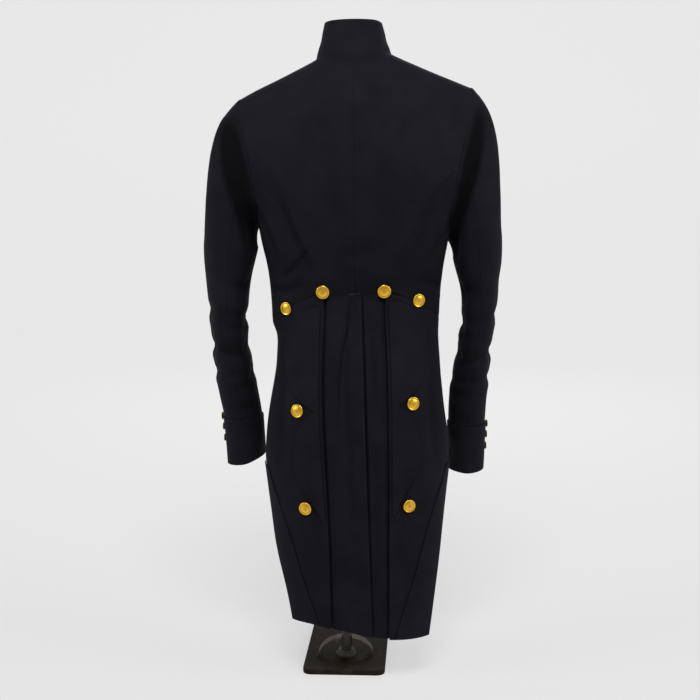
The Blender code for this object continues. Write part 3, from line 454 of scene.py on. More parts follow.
class Sleeve(Body):
    """A sleeve: bearings round its own bent middle line, growing towards the outer arm."""

    radius = 0.045
    shoulder = 0.95
    lean = 0.05 / 0.16**2
    heights = np.arange(0.44, 0.85, 0.03)
    half_ring = 0.012

    def __init__(self, side):
        self.side = SIDES[side]
        rings = np.concatenate([points_of(panels[f"{kind}_{side}"]) for kind in SLEEVE_KINDS])
        near = [rings[abs(rings[:, 2] - height) < self.half_ring] for height in self.heights]
        middles = np.array([(ring.min(axis=0) + ring.max(axis=0)) / 2 for ring in near])
        self.line = middles[:, :2]

    def centre(self, points):
        up = points[:, 2]
        return np.stack([np.interp(up, self.heights, self.line[:, i]) for i in (0, 1)], axis=1)

    def outward(self, points):
        away = points[:, :2] - self.centre(points)
        rise = np.maximum(points[:, 2] - self.shoulder, 0) * self.lean
        return unit_rows(np.column_stack([away, rise]))


# A fold's ridge lies this many widths from its floor, and the fold reaches this many widths out
RIDGE_OFFSET = 1.7
FOLD_REACH = 4
# A fold's share of its depth at its two ends
END_SHARE = 0.12


def fold_depth(field, points, path, width, depth, ridge=0.35):
    """How far one fold moves each point out. Its ends fade, and its ridge is on the path's left."""
    scale = math.radians(1) * field.radius
    across = field.bearing(points) * scale
    best = np.full(len(points), 9.0)
    signed = np.zeros(len(points))
    along = np.zeros(len(points))
    steps = len(path) - 1
    for i, (start, end) in enumerate(zip(path, path[1:])):
        low = np.array((start[0] * scale, start[1]))
        step = np.array((end[0] * scale, end[1])) - low
        gap = np.column_stack([across, points[:, 2]]) - low
        share = np.clip(gap @ step / (step @ step), 0, 1)
        off = gap - share[:, None] * step
        distance = np.linalg.norm(off, axis=1)
        nearer = distance < best
        best = np.where(nearer, distance, best)
        turn = step[0] * gap[:, 1] - step[1] * gap[:, 0]
        signed = np.where(nearer, np.sign(turn) * distance, signed)
        along = np.where(nearer, (i + share) / steps, along)
    fade = np.sqrt(np.clip(np.sin(math.pi * np.clip(along, 0, 1)), 0, 1))
    floor = np.exp(-((best / width) ** 2))
    raised = np.exp(-(((signed - RIDGE_OFFSET * width) / width) ** 2)) * (signed > 0)
    share = END_SHARE + (1 - END_SHARE) * fade
    return depth * (ridge * raised - floor) * share * (best < FOLD_REACH * width)


print("a fold reaches", FOLD_REACH, "times its width")

# %% [markdown]
# ### The folds of the back, the front and the tails
#
# The body's folds were read from the photograph on the back. On the front and sides, which it does
# not show, there are fewer and softer ones of the same kind, where a closed coat strains: from the
# armholes towards the buttons, and across the waist.

# %% Folds of the body and tails
# path of (bearing, height), width, depth
BODY_FOLDS = (
    (((-60, 0.985), (-52, 0.92), (-45, 0.86), (-38, 0.81)), 0.008, 0.0028),
    (((-60, 0.795), (-50, 0.815), (-38, 0.850)), 0.006, 0.0030),
    (((-75, 0.93), (-66, 0.88), (-60, 0.83)), 0.008, 0.0032),
    (((-80, 0.775), (-60, 0.770), (-46, 0.785)), 0.008, 0.0028),
    (((62, 0.96), (54, 0.90), (49, 0.845)), 0.013, 0.0018),
    (((78, 0.90), (66, 0.86), (58, 0.82)), 0.010, 0.0022),
    (((84, 0.765), (66, 0.775), (50, 0.792)), 0.009, 0.0026),
    (((-22, 1.06), (-17, 0.98), (-15, 0.90)), 0.020, 0.0012),
    (((20, 1.08), (24, 0.99), (20, 0.90)), 0.022, 0.0012),
    (((-12, 0.86), (0, 0.835), (13, 0.86)), 0.012, 0.0010),
    (((-20, 0.812), (-4, 0.800), (10, 0.806)), 0.009, 0.0009),
    (((48, 1.10), (38, 1.055), (30, 1.03)), 0.012, 0.0022),
    (((-50, 1.08), (-40, 1.04), (-30, 1.02)), 0.012, 0.0020),
    (((100, 0.87), (118, 0.90), (138, 0.93)), 0.012, 0.0036),
    (((104, 0.83), (124, 0.845), (146, 0.86)), 0.011, 0.0030),
    (((-100, 0.89), (-118, 0.92), (-140, 0.94)), 0.012, 0.0034),
    (((-104, 0.84), (-126, 0.85), (-148, 0.875)), 0.011, 0.0030),
    (((108, 0.745), (128, 0.765), (150, 0.772)), 0.010, 0.0026),
    (((-106, 0.75), (-128, 0.768), (-152, 0.765)), 0.010, 0.0026),
    (((128, 1.09), (140, 1.05), (150, 1.03)), 0.013, 0.0026),
    (((-128, 1.08), (-141, 1.04), (-151, 1.03)), 0.013, 0.0026),
)
TAIL_FOLDS = (
    (((-10, 0.72), (-9, 0.60), (-7, 0.44), (-6, 0.26)), 0.010, 0.0030),
    (((-6, 0.757), (-10, 0.69), (-14.5, 0.655), (-16.5, 0.59), (-17.5, 0.50)), 0.0045, 0.0036),
    (((14, 0.72), (16, 0.62), (15, 0.54)), 0.008, 0.0024),
    (((16, 0.50), (17, 0.36), (16, 0.20)), 0.008, 0.0022),
    (((-2, 0.40), (-1, 0.30), (0, 0.16)), 0.010, 0.0020),
    (((-14, 0.176), (-4, 0.171), (6, 0.176)), 0.006, 0.0012),
    (((-40, 0.44), (-34, 0.36), (-30, 0.26)), 0.013, 0.0030),
    (((40, 0.46), (36, 0.36), (31, 0.24)), 0.013, 0.0030),
    (((-66, 0.66), (-60, 0.56), (-58, 0.44)), 0.016, 0.0042),
    (((64, 0.66), (60, 0.56), (58, 0.42)), 0.016, 0.0042),
    (((-84, 0.62), (-82, 0.54), (-78, 0.46)), 0.012, 0.0030),
    (((86, 0.62), (83, 0.54), (80, 0.46)), 0.012, 0.0030),
)


# The tails between the pleats draw back from each pleat's edge, and from the lapped edge
PLEAT_FOLDS = {
    "left": (
        (((-30.9, 0.76), (-30.4, 0.60), (-28.8, 0.50), (-26.1, 0.35), (-25.6, 0.06)), 0.0032, 0.0052),
    ),
    "right": (
        (((28.8, 0.76), (27.5, 0.55), (25.8, 0.36), (25.0, 0.06)), 0.0034, 0.0052),
        (((5.6, 0.76), (6.4, 0.60), (6.9, 0.50), (8.0, 0.35), (11.2, 0.06)), 0.0034, 0.0060),
    ),
}


ALL_BODY_FOLDS = BODY_FOLDS + TAIL_FOLDS
print(len(ALL_BODY_FOLDS), "folds on the body, and", sum(map(len, PLEAT_FOLDS.values())), "beside its edges")

# %% [markdown]
# ### Moving the cloth
#
# A piece's points go in or out by the sum of its folds, and what sinks is darkened with painted shade.
# A sleeve has folds of its own, but its head is sewn to the body. So the distance from each sleeve
# point to the body's cloth is measured first, and the points nearest to the armhole follow the body's
# folds.

# %% Move the body and the sleeve heads
# a fold this deep gets full painted shade
FULL_SHADE_DEPTH = 0.009
ARMHOLE_FOOT = 0.82
# The trunk's cloth is searched from a little below the sleeves' lowest sewn points
SEARCH_MARGIN = 0.03
FOLLOW_FROM = 0.002
FOLLOW_TO = 0.030
FAR = 1.0


def mark_hollows(piece, more):
    """Adds to each point's share of painted shade."""
    mesh = piece.data
    layer = mesh.attributes.get("hollow") or mesh.attributes.new("hollow", "FLOAT", "POINT")
    held = np.zeros(len(mesh.vertices), dtype=np.float32)
    layer.data.foreach_get("value", held)
    layer.data.foreach_set("value", (held + np.maximum(more, 0)).astype(np.float32))


def move_by(piece, field, folds, share=1.0):
    """Moves a piece's points by a table of folds, and paints shade where they sink. share is each point's
    part of the move.
    """
    points = points_of(piece)
    shift = share * sum(fold_depth(field, points, *row) for row in folds)
    set_points(piece, points + field.outward(points) * shift[:, None])
    # paints shade into the cloth that sinks, by its depth
    mark_hollows(piece, -shift / FULL_SHADE_DEPTH)
    return float(np.abs(shift).max())


def tree_of(points):
    """A search tree of points."""
    tree = kdtree.KDTree(len(points))
    for index, point in enumerate(points):
        tree.insert(point, index)
    tree.balance()
    return tree


def distances(points, tree):
    """How far each point is from the tree's nearest one."""
    return np.array([tree.find(point)[2] for point in points])


def cloth_of(kinds, sides):
    """The points of all panels of these kinds."""
    return np.concatenate([points_of(panels[f"{kind}_{side}"]) for kind in kinds for side in sides])


from_armhole = {}
for side in SIDES:
    trunk = cloth_of(("back", "side", "front"), (side,))
    trunk_tree = tree_of(trunk[trunk[:, 2] > ARMHOLE_FOOT - SEARCH_MARGIN])
    for kind in SLEEVE_KINDS:
        points = points_of(panels[f"{kind}_{side}"])
        high = points[:, 2] > ARMHOLE_FOOT
        distance = np.full(len(points), FAR)
        distance[high] = distances(points[high], trunk_tree)
        from_armhole[f"{kind}_{side}"] = distance

body = Body()
for node, distance in from_armhole.items():
    move_by(panels[node], body, ALL_BODY_FOLDS, 1 - smooth_step(FOLLOW_FROM, FOLLOW_TO, distance))
for kind in BODY_KINDS:
    for side in SIDES:
        deepest = move_by(panels[f"{kind}_{side}"], body, ALL_BODY_FOLDS)
        print(kind, side, "moved up to", round(deepest * 1000, 1), "mm")
for side in SIDES:
    move_by(panels[f"back_{side}"], body, PLEAT_FOLDS[side])

# %% [markdown]
# ## The sleeves
#
# The arms hang a little forward and bent, as such sleeves are cut. The photograph shows a deep
# hollow behind each armhole seam, where the sleeve head falls away from the back, and short folds
# that cross the elbow and the lower arm. Both are troughs in the sleeve's own field. Each row is
# again a path of (bearing, height), a width and a depth, now round the sleeve's own middle line.

# %% Folds of the sleeves
SLEEVE_FOLDS = {
    "left": (
        (((-2, 1.10), (-8, 1.04), (-20, 0.98), (-38, 0.91), (-58, 0.84)), 0.019, 0.0150),
        (((30, 1.05), (24, 0.97), (12, 0.90)), 0.013, 0.0030),
        (((-80, 0.80), (-40, 0.775), (0, 0.785)), 0.010, 0.0040),
        (((-90, 0.72), (-50, 0.695), (-10, 0.70), (30, 0.715)), 0.011, 0.0050),
        (((-70, 0.665), (-25, 0.64), (20, 0.65)), 0.009, 0.0040),
        (((-80, 0.61), (-45, 0.585), (-5, 0.58)), 0.010, 0.0036),
        (((40, 0.75), (55, 0.67), (50, 0.60)), 0.014, 0.0030),
        (((-60, 0.55), (-20, 0.535), (25, 0.53)), 0.009, 0.0028),
        (((150, 0.74), (-170, 0.705), (-130, 0.70)), 0.012, 0.0055),
        (((130, 0.685), (170, 0.66), (-150, 0.655)), 0.011, 0.0050),
        (((140, 0.62), (180, 0.61), (-145, 0.60)), 0.010, 0.0040),
        (((60, 1.02), (75, 0.94), (72, 0.86)), 0.018, 0.0035),
        (((120, 1.03), (135, 0.95), (150, 0.88)), 0.016, 0.0040),
    ),
    "right": (
        (((4, 1.11), (-8, 1.04), (-24, 0.97), (-42, 0.90), (-64, 0.82)), 0.015, 0.0135),
        (((34, 1.06), (26, 0.98), (16, 0.90)), 0.013, 0.0030),
        (((-85, 0.78), (-45, 0.755), (-8, 0.77)), 0.010, 0.0040),
        (((-80, 0.70), (-42, 0.672), (0, 0.68), (34, 0.69)), 0.011, 0.0050),
        (((-75, 0.64), (-30, 0.618), (14, 0.63)), 0.009, 0.0040),
        (((-75, 0.575), (-35, 0.555), (5, 0.56)), 0.010, 0.0034),
        (((45, 0.73), (58, 0.65), (50, 0.58)), 0.014, 0.0030),
        (((-55, 0.515), (-15, 0.50), (25, 0.505)), 0.009, 0.0026),
        (((150, 0.72), (-172, 0.688), (-132, 0.68)), 0.012, 0.0055),
        (((132, 0.665), (172, 0.642), (-150, 0.635)), 0.011, 0.0050),
        (((140, 0.60), (180, 0.59), (-145, 0.58)), 0.010, 0.0040),
        (((60, 1.03), (75, 0.95), (72, 0.87)), 0.018, 0.0035),
        (((122, 1.04), (137, 0.96), (152, 0.88)), 0.016, 0.0040),
    ),
}
print({side: len(folds) for side, folds in SLEEVE_FOLDS.items()}, "folds")

# %% Move the sleeves
CUFF_TOP = {"left": 0.512, "right": 0.490}
# How far below and above a cuff's top, and how far from the armhole, the folds fade
CUFF_FADE = (-0.004, 0.03)
SEAM_FADE = (0.0010, 0.012)
# painted shade on the side of each arm that faces the body, and the span of the turn inward where it grows
INNER_ARM_SHADE = 0.42
INNER_ARM_SPAN = (0.05, 0.95)


def sleeve_share(node, side):
    """Folds fade out towards the cuff's stiff doubled cloth, and at the armhole seam."""
    low, high = (CUFF_TOP[side] + offset for offset in CUFF_FADE)
    from_seam = smooth_step(*SEAM_FADE, from_armhole[node])
    return smooth_step(low, high, points_of(panels[node])[:, 2]) * from_seam


def shade_inner_arm(piece, field):
    """Paints shade on the side of the arm towards the body, so it stays dark."""
    turned_in = -np.sin(np.radians(field.bearing(points_of(piece))))
    mark_hollows(piece, INNER_ARM_SHADE * smooth_step(*INNER_ARM_SPAN, turned_in))


sleeves = {side: Sleeve(side) for side in SIDES}
for side in SIDES:
    for kind in SLEEVE_KINDS:
        node = f"{kind}_{side}"
        deepest = move_by(panels[node], sleeves[side], SLEEVE_FOLDS[side], sleeve_share(node, side))
        shade_inner_arm(panels[node], sleeves[side])
        print(node, "moved up to", round(deepest * 1000, 1), "mm")
    shade_inner_arm(panels[f"cuff_{side}"], sleeves[side])

# %% [markdown]
# ## Seams
#
# Where two pieces are sewn, the cloth rolls down into the seam. Each panel's points near a sewn rim
# sink a little, most at the rim itself, so that two neighbours meet in a fine groove. Cut edges at
# the hem, the vent and the front stay as they are: fulled wool doesn't fray and is left raw.

# %% Seam grooves
SEAM_DEPTH = 0.0005
SEAM_WIDTH = 0.0036
VENT_HEAD = 0.764
NECK_FOOT = 1.12
NECK_REACH = 0.085
NECK_OFFSET = 0.004


def groove(piece, field, sewn):
    """Sinks the points near the rims where sewn(point) is true, and counts those rim points."""
    points = points_of(piece)
    shape = bmesh.new()
    shape.from_mesh(piece.data)
    sharp = [edge for edge in shape.edges if edge.calc_face_angle(0) > RIM_ANGLE]
    rim = {vert.index for edge in sharp for vert in edge.verts}
    shape.free()
    rim = [index for index in rim if sewn(points[index])]
    sink = SEAM_DEPTH * np.exp(-((distances(points, tree_of(points[rim])) / SEAM_WIDTH) ** 2))
    set_points(piece, points - field.outward(points) * sink[:, None])
    return len(rim)


def above(height):
    """A test for the seams above a height."""
    return lambda point: point[2] > height


def above_but_neck(height):
    """The same, but not for the neck, where the collar is sewn on top."""

    def sewn(point):
        from_neck = math.hypot(point[0] - COAT_X - NECK_OFFSET, point[1])
        return point[2] > height and (point[2] < NECK_FOOT or from_neck > NECK_REACH)

    return sewn


SEWN = {
    "back": above_but_neck(VENT_HEAD),
    "side": above(0.0),
    "front": above_but_neck(0.70),
    "skirt": above(0.69),
}
for kind, sewn in SEWN.items():
    for side in SIDES:
        print(kind, side, groove(panels[f"{kind}_{side}"], body, sewn), "sewn rim points")


class Armhole:
    """A sleeve's seams sink into the arm, and at the armhole the way that the body's do."""

    blend_from = 0.83
    blend_to = 0.89

    def __init__(self, sleeve):
        self.sleeve = sleeve

    def outward(self, points):
        high = smooth_step(self.blend_from, self.blend_to, points[:, 2])[:, None]
        return unit_rows(self.sleeve.outward(points) * (1 - high) + body.outward(points) * high)


for side in SIDES:
    for kind in SLEEVE_KINDS:
        groove(panels[f"{kind}_{side}"], Armhole(sleeves[side]), above(CUFF_TOP[side]))

# %% [markdown]
# ## Painted shade beside laid pieces and at the waist
#
# Shade is painted into the cloth next to a piece that lies on another one, and in at the waist, as
# dark as in a fold. The same attribute holds this, a little unevenly along each edge.

# %% Painted shade beside the laid pieces, and round the waist
# each laid piece: what it lies on, how dark the painted shade beside it is, and how far out in metres
LAID = {
    "flap": ("skirt", 0.48, 0.0030),
    "turnback": ("skirt", 0.50, 0.0050),
    "skirt": ("back", 0.60, 0.0030),
}
UNEVEN_SHARE = 0.28
UNEVEN_UP = 61
UNEVEN_SLOW = 23
WAIST_SHADE = 0.30
# heights between which the shade grows, from above and from below
WAIST_ABOVE = (1.07, 0.86)
WAIST_BELOW = (0.70, 0.80)


def shade_beside(piece, laid, darkness, reach):
    """Paints shade on the cloth next to a piece that lies on it, more in some places than in others."""
    points = points_of(piece)
    near = np.exp(-((distances(points, tree_of(points_of(laid))) / reach) ** 2))
    across, _, up = points.T
    waves = np.sin(up * UNEVEN_UP + across * UNEVEN_SLOW) * np.sin(up * UNEVEN_SLOW)
    uneven = (1 - UNEVEN_SHARE) + UNEVEN_SHARE * waves
    mark_hollows(piece, darkness * near * uneven)


for side in SIDES:
    for kind, (carrier, darkness, reach) in LAID.items():
        shade_beside(panels[f"{carrier}_{side}"], panels[f"{kind}_{side}"], darkness, reach)
    for kind in ("back", "side", "front"):
        # painted shade in at the waist, fading out above and below
        heights = points_of(panels[f"{kind}_{side}"])[:, 2]
        waist = smooth_step(*WAIST_ABOVE, heights) * smooth_step(*WAIST_BELOW, heights)
        mark_hollows(panels[f"{kind}_{side}"], WAIST_SHADE * waist)
print("cloth darkened beside", len(LAID) * len(SIDES), "laid pieces, and round the waist")

# %% [markdown]
# ## The collar
#
# The collar stands by its own stiffness, so it only dips a little where the neck would press it. It
# is sewn on top of the coat's neck edge, so its lower rim is let down onto that seam. That takes
# its points near the coat's, in the direction that the body's folds sink.

# %% Collar
# path of (bearing, height), width, depth
COLLAR_FOLDS = (
    (((-40, 1.232), (-10, 1.226), (30, 1.233)), 0.010, 0.0012),
    (((60, 1.238), (95, 1.226), (130, 1.220)), 0.009, 0.0010),
    (((-60, 1.236), (-95, 1.226), (-130, 1.218)), 0.009, 0.0010),
)


class Neck(Body):
    """The collar's own field, straight out from the neck's middle."""

    middle = (COAT_X + 0.006, 0.004)
    radius = 0.06

    def outward(self, points):
        away = points[:, :2] - self.centre(points)
        return unit_rows(np.column_stack([away, np.zeros(len(points))]))


NECK_DROP = 0.0010
DROP_FADE = (0.001, 0.010)
SHOULDER_FOOT = 1.10

move_by(panels["collar"], Neck(), COLLAR_FOLDS)
trunk = cloth_of(("back", "front"), SIDES)
neck_tree = tree_of(trunk[trunk[:, 2] > SHOULDER_FOOT])
points = points_of(panels["collar"])
drop = NECK_DROP * (1 - smooth_step(*DROP_FADE, distances(points, neck_tree)))
set_points(panels["collar"], points - body.outward(points) * drop[:, None])
print("collar", len(points), "points, let down by up to", round(drop.max() * 1000, 2), "mm")

# %% Wool on every panel
# the flaps, turned-back edges and collar show the cloth's other, slightly paler face
TURNED = ("flap", "turnback", "collar")
for node, piece in panels.items():
    piece.data.materials.append(facing_wool if node.startswith(TURNED) else coat_wool)
    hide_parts(node)
    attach(piece, "root")
print(len(panels), "panels in wool")

# %% [markdown]
# ## Edge stitches and buttonholes
#
# Fulled wool is left raw at its edges, and a row of fine stitches holds each of them flat. They are
# near black, so they show only as a faint row of dimples. Each stitch is a stretched ball. It lies on
# the point where a line cast from outside meets the cloth, so it follows the folds. A buttonhole's
# two rows of thread run in from the button, and half of each shows past the button's rim.

# %% Rows of stitches
STITCH_STEP = 0.0042
# a stitch's half length, as a share of the step between stitches
STITCH_SHARE = 0.30
THREAD_RADIUS = 0.00024
THREAD_SPREAD = 1.3
THREAD_LIFT = 0.25
EDGE_INSET = 0.0036
# how far out a line starts, and how far apart lines lie
CAST_FROM = 0.5
CAST_STEP = 0.001


def thread_ball():
    """One stitch: a ball of one unit, as points and faces."""
    bpy.ops.object.select_all(action="DESELECT")
    bpy.ops.mesh.primitive_uv_sphere_add(segments=6, ring_count=4, radius=1.0)
    ball = bpy.context.object
    points = points_of(ball).copy()
    faces = [tuple(polygon.vertices) for polygon in ball.data.polygons]
    bpy.data.objects.remove(ball)
    return points, faces


BALL_POINTS, BALL_FACES = thread_ball()


def meet(piece, start, toward):
    """Where a line from start towards a point first meets a piece, and the way its face looks."""
    direction = (Vector(toward) - Vector(start)).normalized()
    hit, place, normal, _ = piece.ray_cast(Vector(start), direction)
    return (np.array(place), np.array(normal)) if hit else None


def meet_back(piece, x, z):
    """Where a line from behind the coat first meets a piece."""
    return meet(piece, (x, -CAST_FROM, z), (x, 0.0, z))


def meet_front(piece, x, z):
    """Where a line from before the coat first meets a piece."""
    return meet(piece, (x, CAST_FROM, z), (x, 0.0, z))


def level_way(bearing):
    """The level direction at a bearing in degrees from the centre back."""
    turn = math.radians(bearing)
    return np.array((math.sin(turn), -math.cos(turn), 0.0))


def along_row(hits):
    """Evenly spaced stitches on a row of hits, as (middle, along, out, half length)."""
    hits = [hit for hit in hits if hit]
    stitches = []
    travelled = 0.0
    for (low, out), (high, _) in zip(hits, hits[1:]):
        span = float(np.linalg.norm(high - low))
        if span < 1e-6 or span > 4 * STITCH_STEP:
            continue
        travelled += span
        if travelled >= STITCH_STEP:
            travelled -= STITCH_STEP
            stitches.append((high, (high - low) / span, out, STITCH_SHARE * STITCH_STEP))
    return stitches


def sewn_thread(name, stitches):
    """Joins stitches into one piece."""
    points, faces = [], []
    for middle, along, out, half in stitches:
        side_way = np.cross(along, out)
        side_way = side_way / max(float(np.linalg.norm(side_way)), 1e-9)
        width = side_way * THREAD_RADIUS * THREAD_SPREAD
        axes = np.array((width, out * THREAD_RADIUS, along * half))
        start = len(points) * len(BALL_POINTS)
        points.append(BALL_POINTS @ axes + middle + out * THREAD_RADIUS * THREAD_LIFT)
        faces.extend(tuple(start + index for index in face) for face in BALL_FACES)
    mesh = bpy.data.meshes.new(name)
    mesh.from_pydata(np.concatenate(points).tolist(), [], faces)
    mesh.shade_smooth()
    piece = bpy.data.objects.new(name, mesh)
    bpy.context.scene.collection.objects.link(piece)
    return piece


# %% Where the rows run
# the lapped edge of the vent: height, and how far it lies from the coat's middle
VENT_EDGE = ((0.070, 0.026), (0.400, 0.018), (0.761, 0.012))
VENT_SPAN = (0.108, 0.752)
FRONT_EDGE_OUT = 0.016
FRONT_SPAN = (0.694, 1.15)
COLLAR_END = 166
SLICE = 0.004
START_OUT = {"collar": 0.3, "cuff": 0.2}

vent_heights, vent_outs = zip(*VENT_EDGE)
rows = {name: [] for name in ("vent_stitches", "front_stitches", "collar_stitches")}
for z in np.arange(*VENT_SPAN, CAST_STEP):
    x = COAT_X + float(np.interp(z, vent_heights, vent_outs)) - EDGE_INSET
    rows["vent_stitches"].append(meet_back(panels["back_left"], x, z))
front_x = COAT_X + FRONT_EDGE_OUT - EDGE_INSET
for z in np.arange(*FRONT_SPAN, CAST_STEP):
    rows["front_stitches"].append(meet_front(panels["front_left"], front_x, z))

collar_points = points_of(panels["collar"])
collar_middle = collar_points.mean(axis=0)
away = collar_points - collar_middle
for bearing in range(-COLLAR_END, COLLAR_END + 1):
    way = level_way(bearing)
    near = (away @ way > 0) & (abs(np.cross(away, way)[:, 2]) < SLICE)
    if near.any():
        height = collar_points[near, 2].max() - EDGE_INSET
        start = collar_middle * (1, 1, 0) + way * START_OUT["collar"] + (0, 0, height)
        rows["collar_stitches"].append(meet(panels["collar"], start, start - way))

for side in SIDES:
    middle = sleeves[side].centre(np.array([(0.0, 0.0, CUFF_TOP[side])]))[0]
    row = rows[f"cuff_stitches_{side}"] = []
    for bearing in range(362):
        way = level_way(bearing)
        start = np.array((*middle, CUFF_TOP[side] - EDGE_INSET)) + way * START_OUT["cuff"]
        row.append(meet(panels[f"cuff_{side}"], start, start - way))

thread = new_finish(
    "thread", Base_Color=(0.0035, 0.0032, 0.0050, 1), Roughness=0.5, Specular_IOR_Level=0.3
)[0]
sewn_pieces = []
for name, hits in rows.items():
    stitches = along_row(hits)
    print(name, len(stitches), "stitches")
    sewn_pieces.append(sewn_thread(name, stitches))

# %% Buttonholes
HOLE_START = 0.002
HOLE_LENGTH = 0.026
HOLE_STEP = 0.0009
HOLE_GAP = 0.0007
FRONT_BUTTONS = 8

hole_stitches = []
for number in range(1, FRONT_BUTTONS + 1):
    middle = np.array(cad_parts[f"button_front_{number}"].bound_box).mean(axis=0)
    for reach in np.arange(HOLE_START, HOLE_LENGTH, HOLE_STEP):
        for level in (-1, 1):
            z = middle[2] + level * (HOLE_GAP + THREAD_RADIUS)
            found = meet_front(panels["front_left"], middle[0] - reach, z)
            if found:
                place, out = found
                upward = np.cross((1.0, 0.0, 0.0), out)
                hole_stitches.append((place, upward / np.linalg.norm(upward), out, HOLE_STEP))
sewn_pieces.append(sewn_thread("buttonholes", hole_stitches))
print(len(hole_stitches), "stitches round", FRONT_BUTTONS, "buttonholes")

# %% [markdown]
# A short bar of stitches across the head of the vent keeps it from tearing. Its thread is painted a
# little paler than the rest, as a highlight, and its stitches stand upright, side by side.

# %% The bar at the head of the vent
BAR_HALF_WIDTH = 0.0105
BAR_STEP = 0.0008
BAR_HALF_HEIGHT = 0.0022
BAR_WAVE = 0.0006
BAR_WAVE_RATE = 900

bar_stitches = []
for x in np.arange(-BAR_HALF_WIDTH, BAR_HALF_WIDTH, BAR_STEP):
    z = VENT_HEAD + BAR_WAVE * math.sin(x * BAR_WAVE_RATE)
    found = meet_back(panels["back_left"], COAT_X + x, z) or meet_back(panels["back_right"], COAT_X + x, z)
    if found:
        bar_stitches.append((found[0], np.array((0.0, 0.0, 1.0)), found[1], BAR_HALF_HEIGHT))
bar = sewn_thread("vent_bar", bar_stitches)
# painted highlight: the bar's thread is paler than the rest
highlight_thread = new_finish("highlight_thread", Base_Color=(0.015, 0.0142, 0.019, 1), Roughness=0.7)[0]
bar.data.materials.append(highlight_thread)
sewn_pieces.append(bar)
for piece in sewn_pieces:
    if not piece.data.materials:
        piece.data.materials.append(thread)
    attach(piece, "root")
print(len(sewn_pieces), "pieces of sewing,", sum(len(p.data.polygons) for p in sewn_pieces), "faces")

# %% [markdown]
# ## The buttons
#
# A gilt button is stamped from sheet brass over a mould: a raised rim, a sunk ring and a low dome.
# Real ones carry a device, which is left out here; the dome has a plain stippled ground instead. It
# is turned once as a profile with the spin tool and copied to each place. Each model button gives
# its own middle and the way it faces.

# %% A button's profile, spun once
BUTTON_SPAN = 0.0255
# share of the radius, height in mm
BUTTON_PROFILE = (
    (0.00, 4.05),
    (0.20, 3.98),
    (0.42, 3.72),
    (0.60, 3.25),
    (0.70, 2.86),
    (0.76, 2.72),
    (0.80, 2.80),
    (0.84, 3.10),
    (0.90, 3.28),
    (0.96, 3.08),
    (1.00, 2.50),
    (1.00, 1.60),
    (0.95, 0.90),
    (0.84, 0.30),
    (0.00, 0.30),
)
SPIN_STEPS = 48
BUTTON_SMOOTH_ANGLE = math.radians(38)


def spun_button():
    """The button, lying flat with its middle at the origin and its face up."""
    radius = BUTTON_SPAN / 2
    mesh = bpy.data.meshes.new("button")
    line = [(share * radius, 0.0, height / 1000) for share, height in BUTTON_PROFILE]
    mesh.from_pydata(line, [(i, i + 1) for i in range(len(line) - 1)], [])
    piece = bpy.data.objects.new("button", mesh)
    bpy.context.scene.collection.objects.link(piece)
    pick(piece)
    bpy.ops.object.mode_set(mode="EDIT")
    bpy.ops.mesh.select_all(action="SELECT")
    bpy.ops.mesh.spin(steps=SPIN_STEPS, angle=2 * math.pi, center=(0, 0, 0), axis=(0, 0, 1))
    bpy.ops.mesh.select_all(action="SELECT")
    bpy.ops.mesh.remove_doubles(threshold=1e-6)
    bpy.ops.mesh.normals_make_consistent(inside=False)
    bpy.ops.object.mode_set(mode="OBJECT")
    bpy.ops.object.shade_smooth_by_angle(angle=BUTTON_SMOOTH_ANGLE)
    return piece


pattern = spun_button()
print("button", len(pattern.data.polygons), "faces")

# %% [markdown]
# Gilt is a thin layer of gold over brass. It stays bright where sleeves and cloths rub it, and
# dulls to brown in the sunk ring and in the stipple. Down the rim's side it is painted brown, then
# near black, as shade. A button's points are moved to its place, so the pattern can't read its
# radius there. Each point keeps it, as a share of the button's own, in the attribute "reach".

# %% Gilt
# where the ring lies and how fast its dullness fades, in shares of the radius
RING = 0.745
RING_FADE = 11.0


def gilt(name):
    """Gilt brass, dull in the ring, with painted shade down the rim's side."""
    material, shader, place = new_finish(name, Metallic=1.0)
    reach = place.kept("reach")
    grain = place.noise(900.0, 3.0)
    spots = place.noise(2400.0, 2.0)
    rubbed = place.noise(160.0, 3.0)
    sunk = (1.0 - (reach - RING).size() * RING_FADE).clamped(0.0, 1.0)
    middle = 1.0 - reach.clamped(0.10, 0.52)
    pits = 0.25 + 0.45 * spots.clamped(0.42, 0.58)
    tarnish_and_rim_shade = sunk * 0.75 + middle * pits + rubbed.clamped(0.55, 0.8) * 0.22
    # painted shade: the rim's side turns brown
    tarnish_and_rim_shade = tarnish_and_rim_shade + reach.clamped(0.93, 1.0) * 0.85
    gold = tarnish_and_rim_shade.clamped(0.0, 1.1).blend((0.86, 0.50, 0.050), (0.34, 0.155, 0.012))
    # painted shade: the rim's outer side goes near black
    feed(shader, "Base Color", reach.clamped(0.955, 1.0).over(gold, (0.085, 0.040, 0.006)))
    feed(shader, "Roughness", 0.24 + tarnish_and_rim_shade * 0.26 + grain * 0.08)
    stipple = spots * (1.0 - reach.clamped(0.55, 0.70))
    relief(shader, stipple * 1.0 + (reach * 75.0).wave() * 0.10 + grain * 0.12, 0.00022, 0.7)
    return material


gilt_finish = gilt("gilt_brass")
print("gilt", len(gilt_finish.node_tree.nodes), "nodes")


# %% Buttons on the coat
# how far a button's back lies behind the middle of the model's one
BUTTON_SEAT = 0.0021


def face_of(node):
    """A model button's middle, the way it faces and its size."""
    flat = np.empty(len(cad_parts[node].data.vertices) * 3)
    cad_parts[node].data.vertices.foreach_get("co", flat)
    points = np.unique(np.round(flat.reshape(-1, 3), 6), axis=0)
    middle = points.mean(axis=0)
    turns = np.linalg.svd(points - middle)[2]
    across = (points - middle) @ turns[0]
    return middle, turns[2], float(np.ptp(across))


def field_at(node):
    """The field that the cloth under a button was moved by."""
    if "_cuff_" not in node:
        return body
    return sleeves["left" if "_left_" in node else "right"]


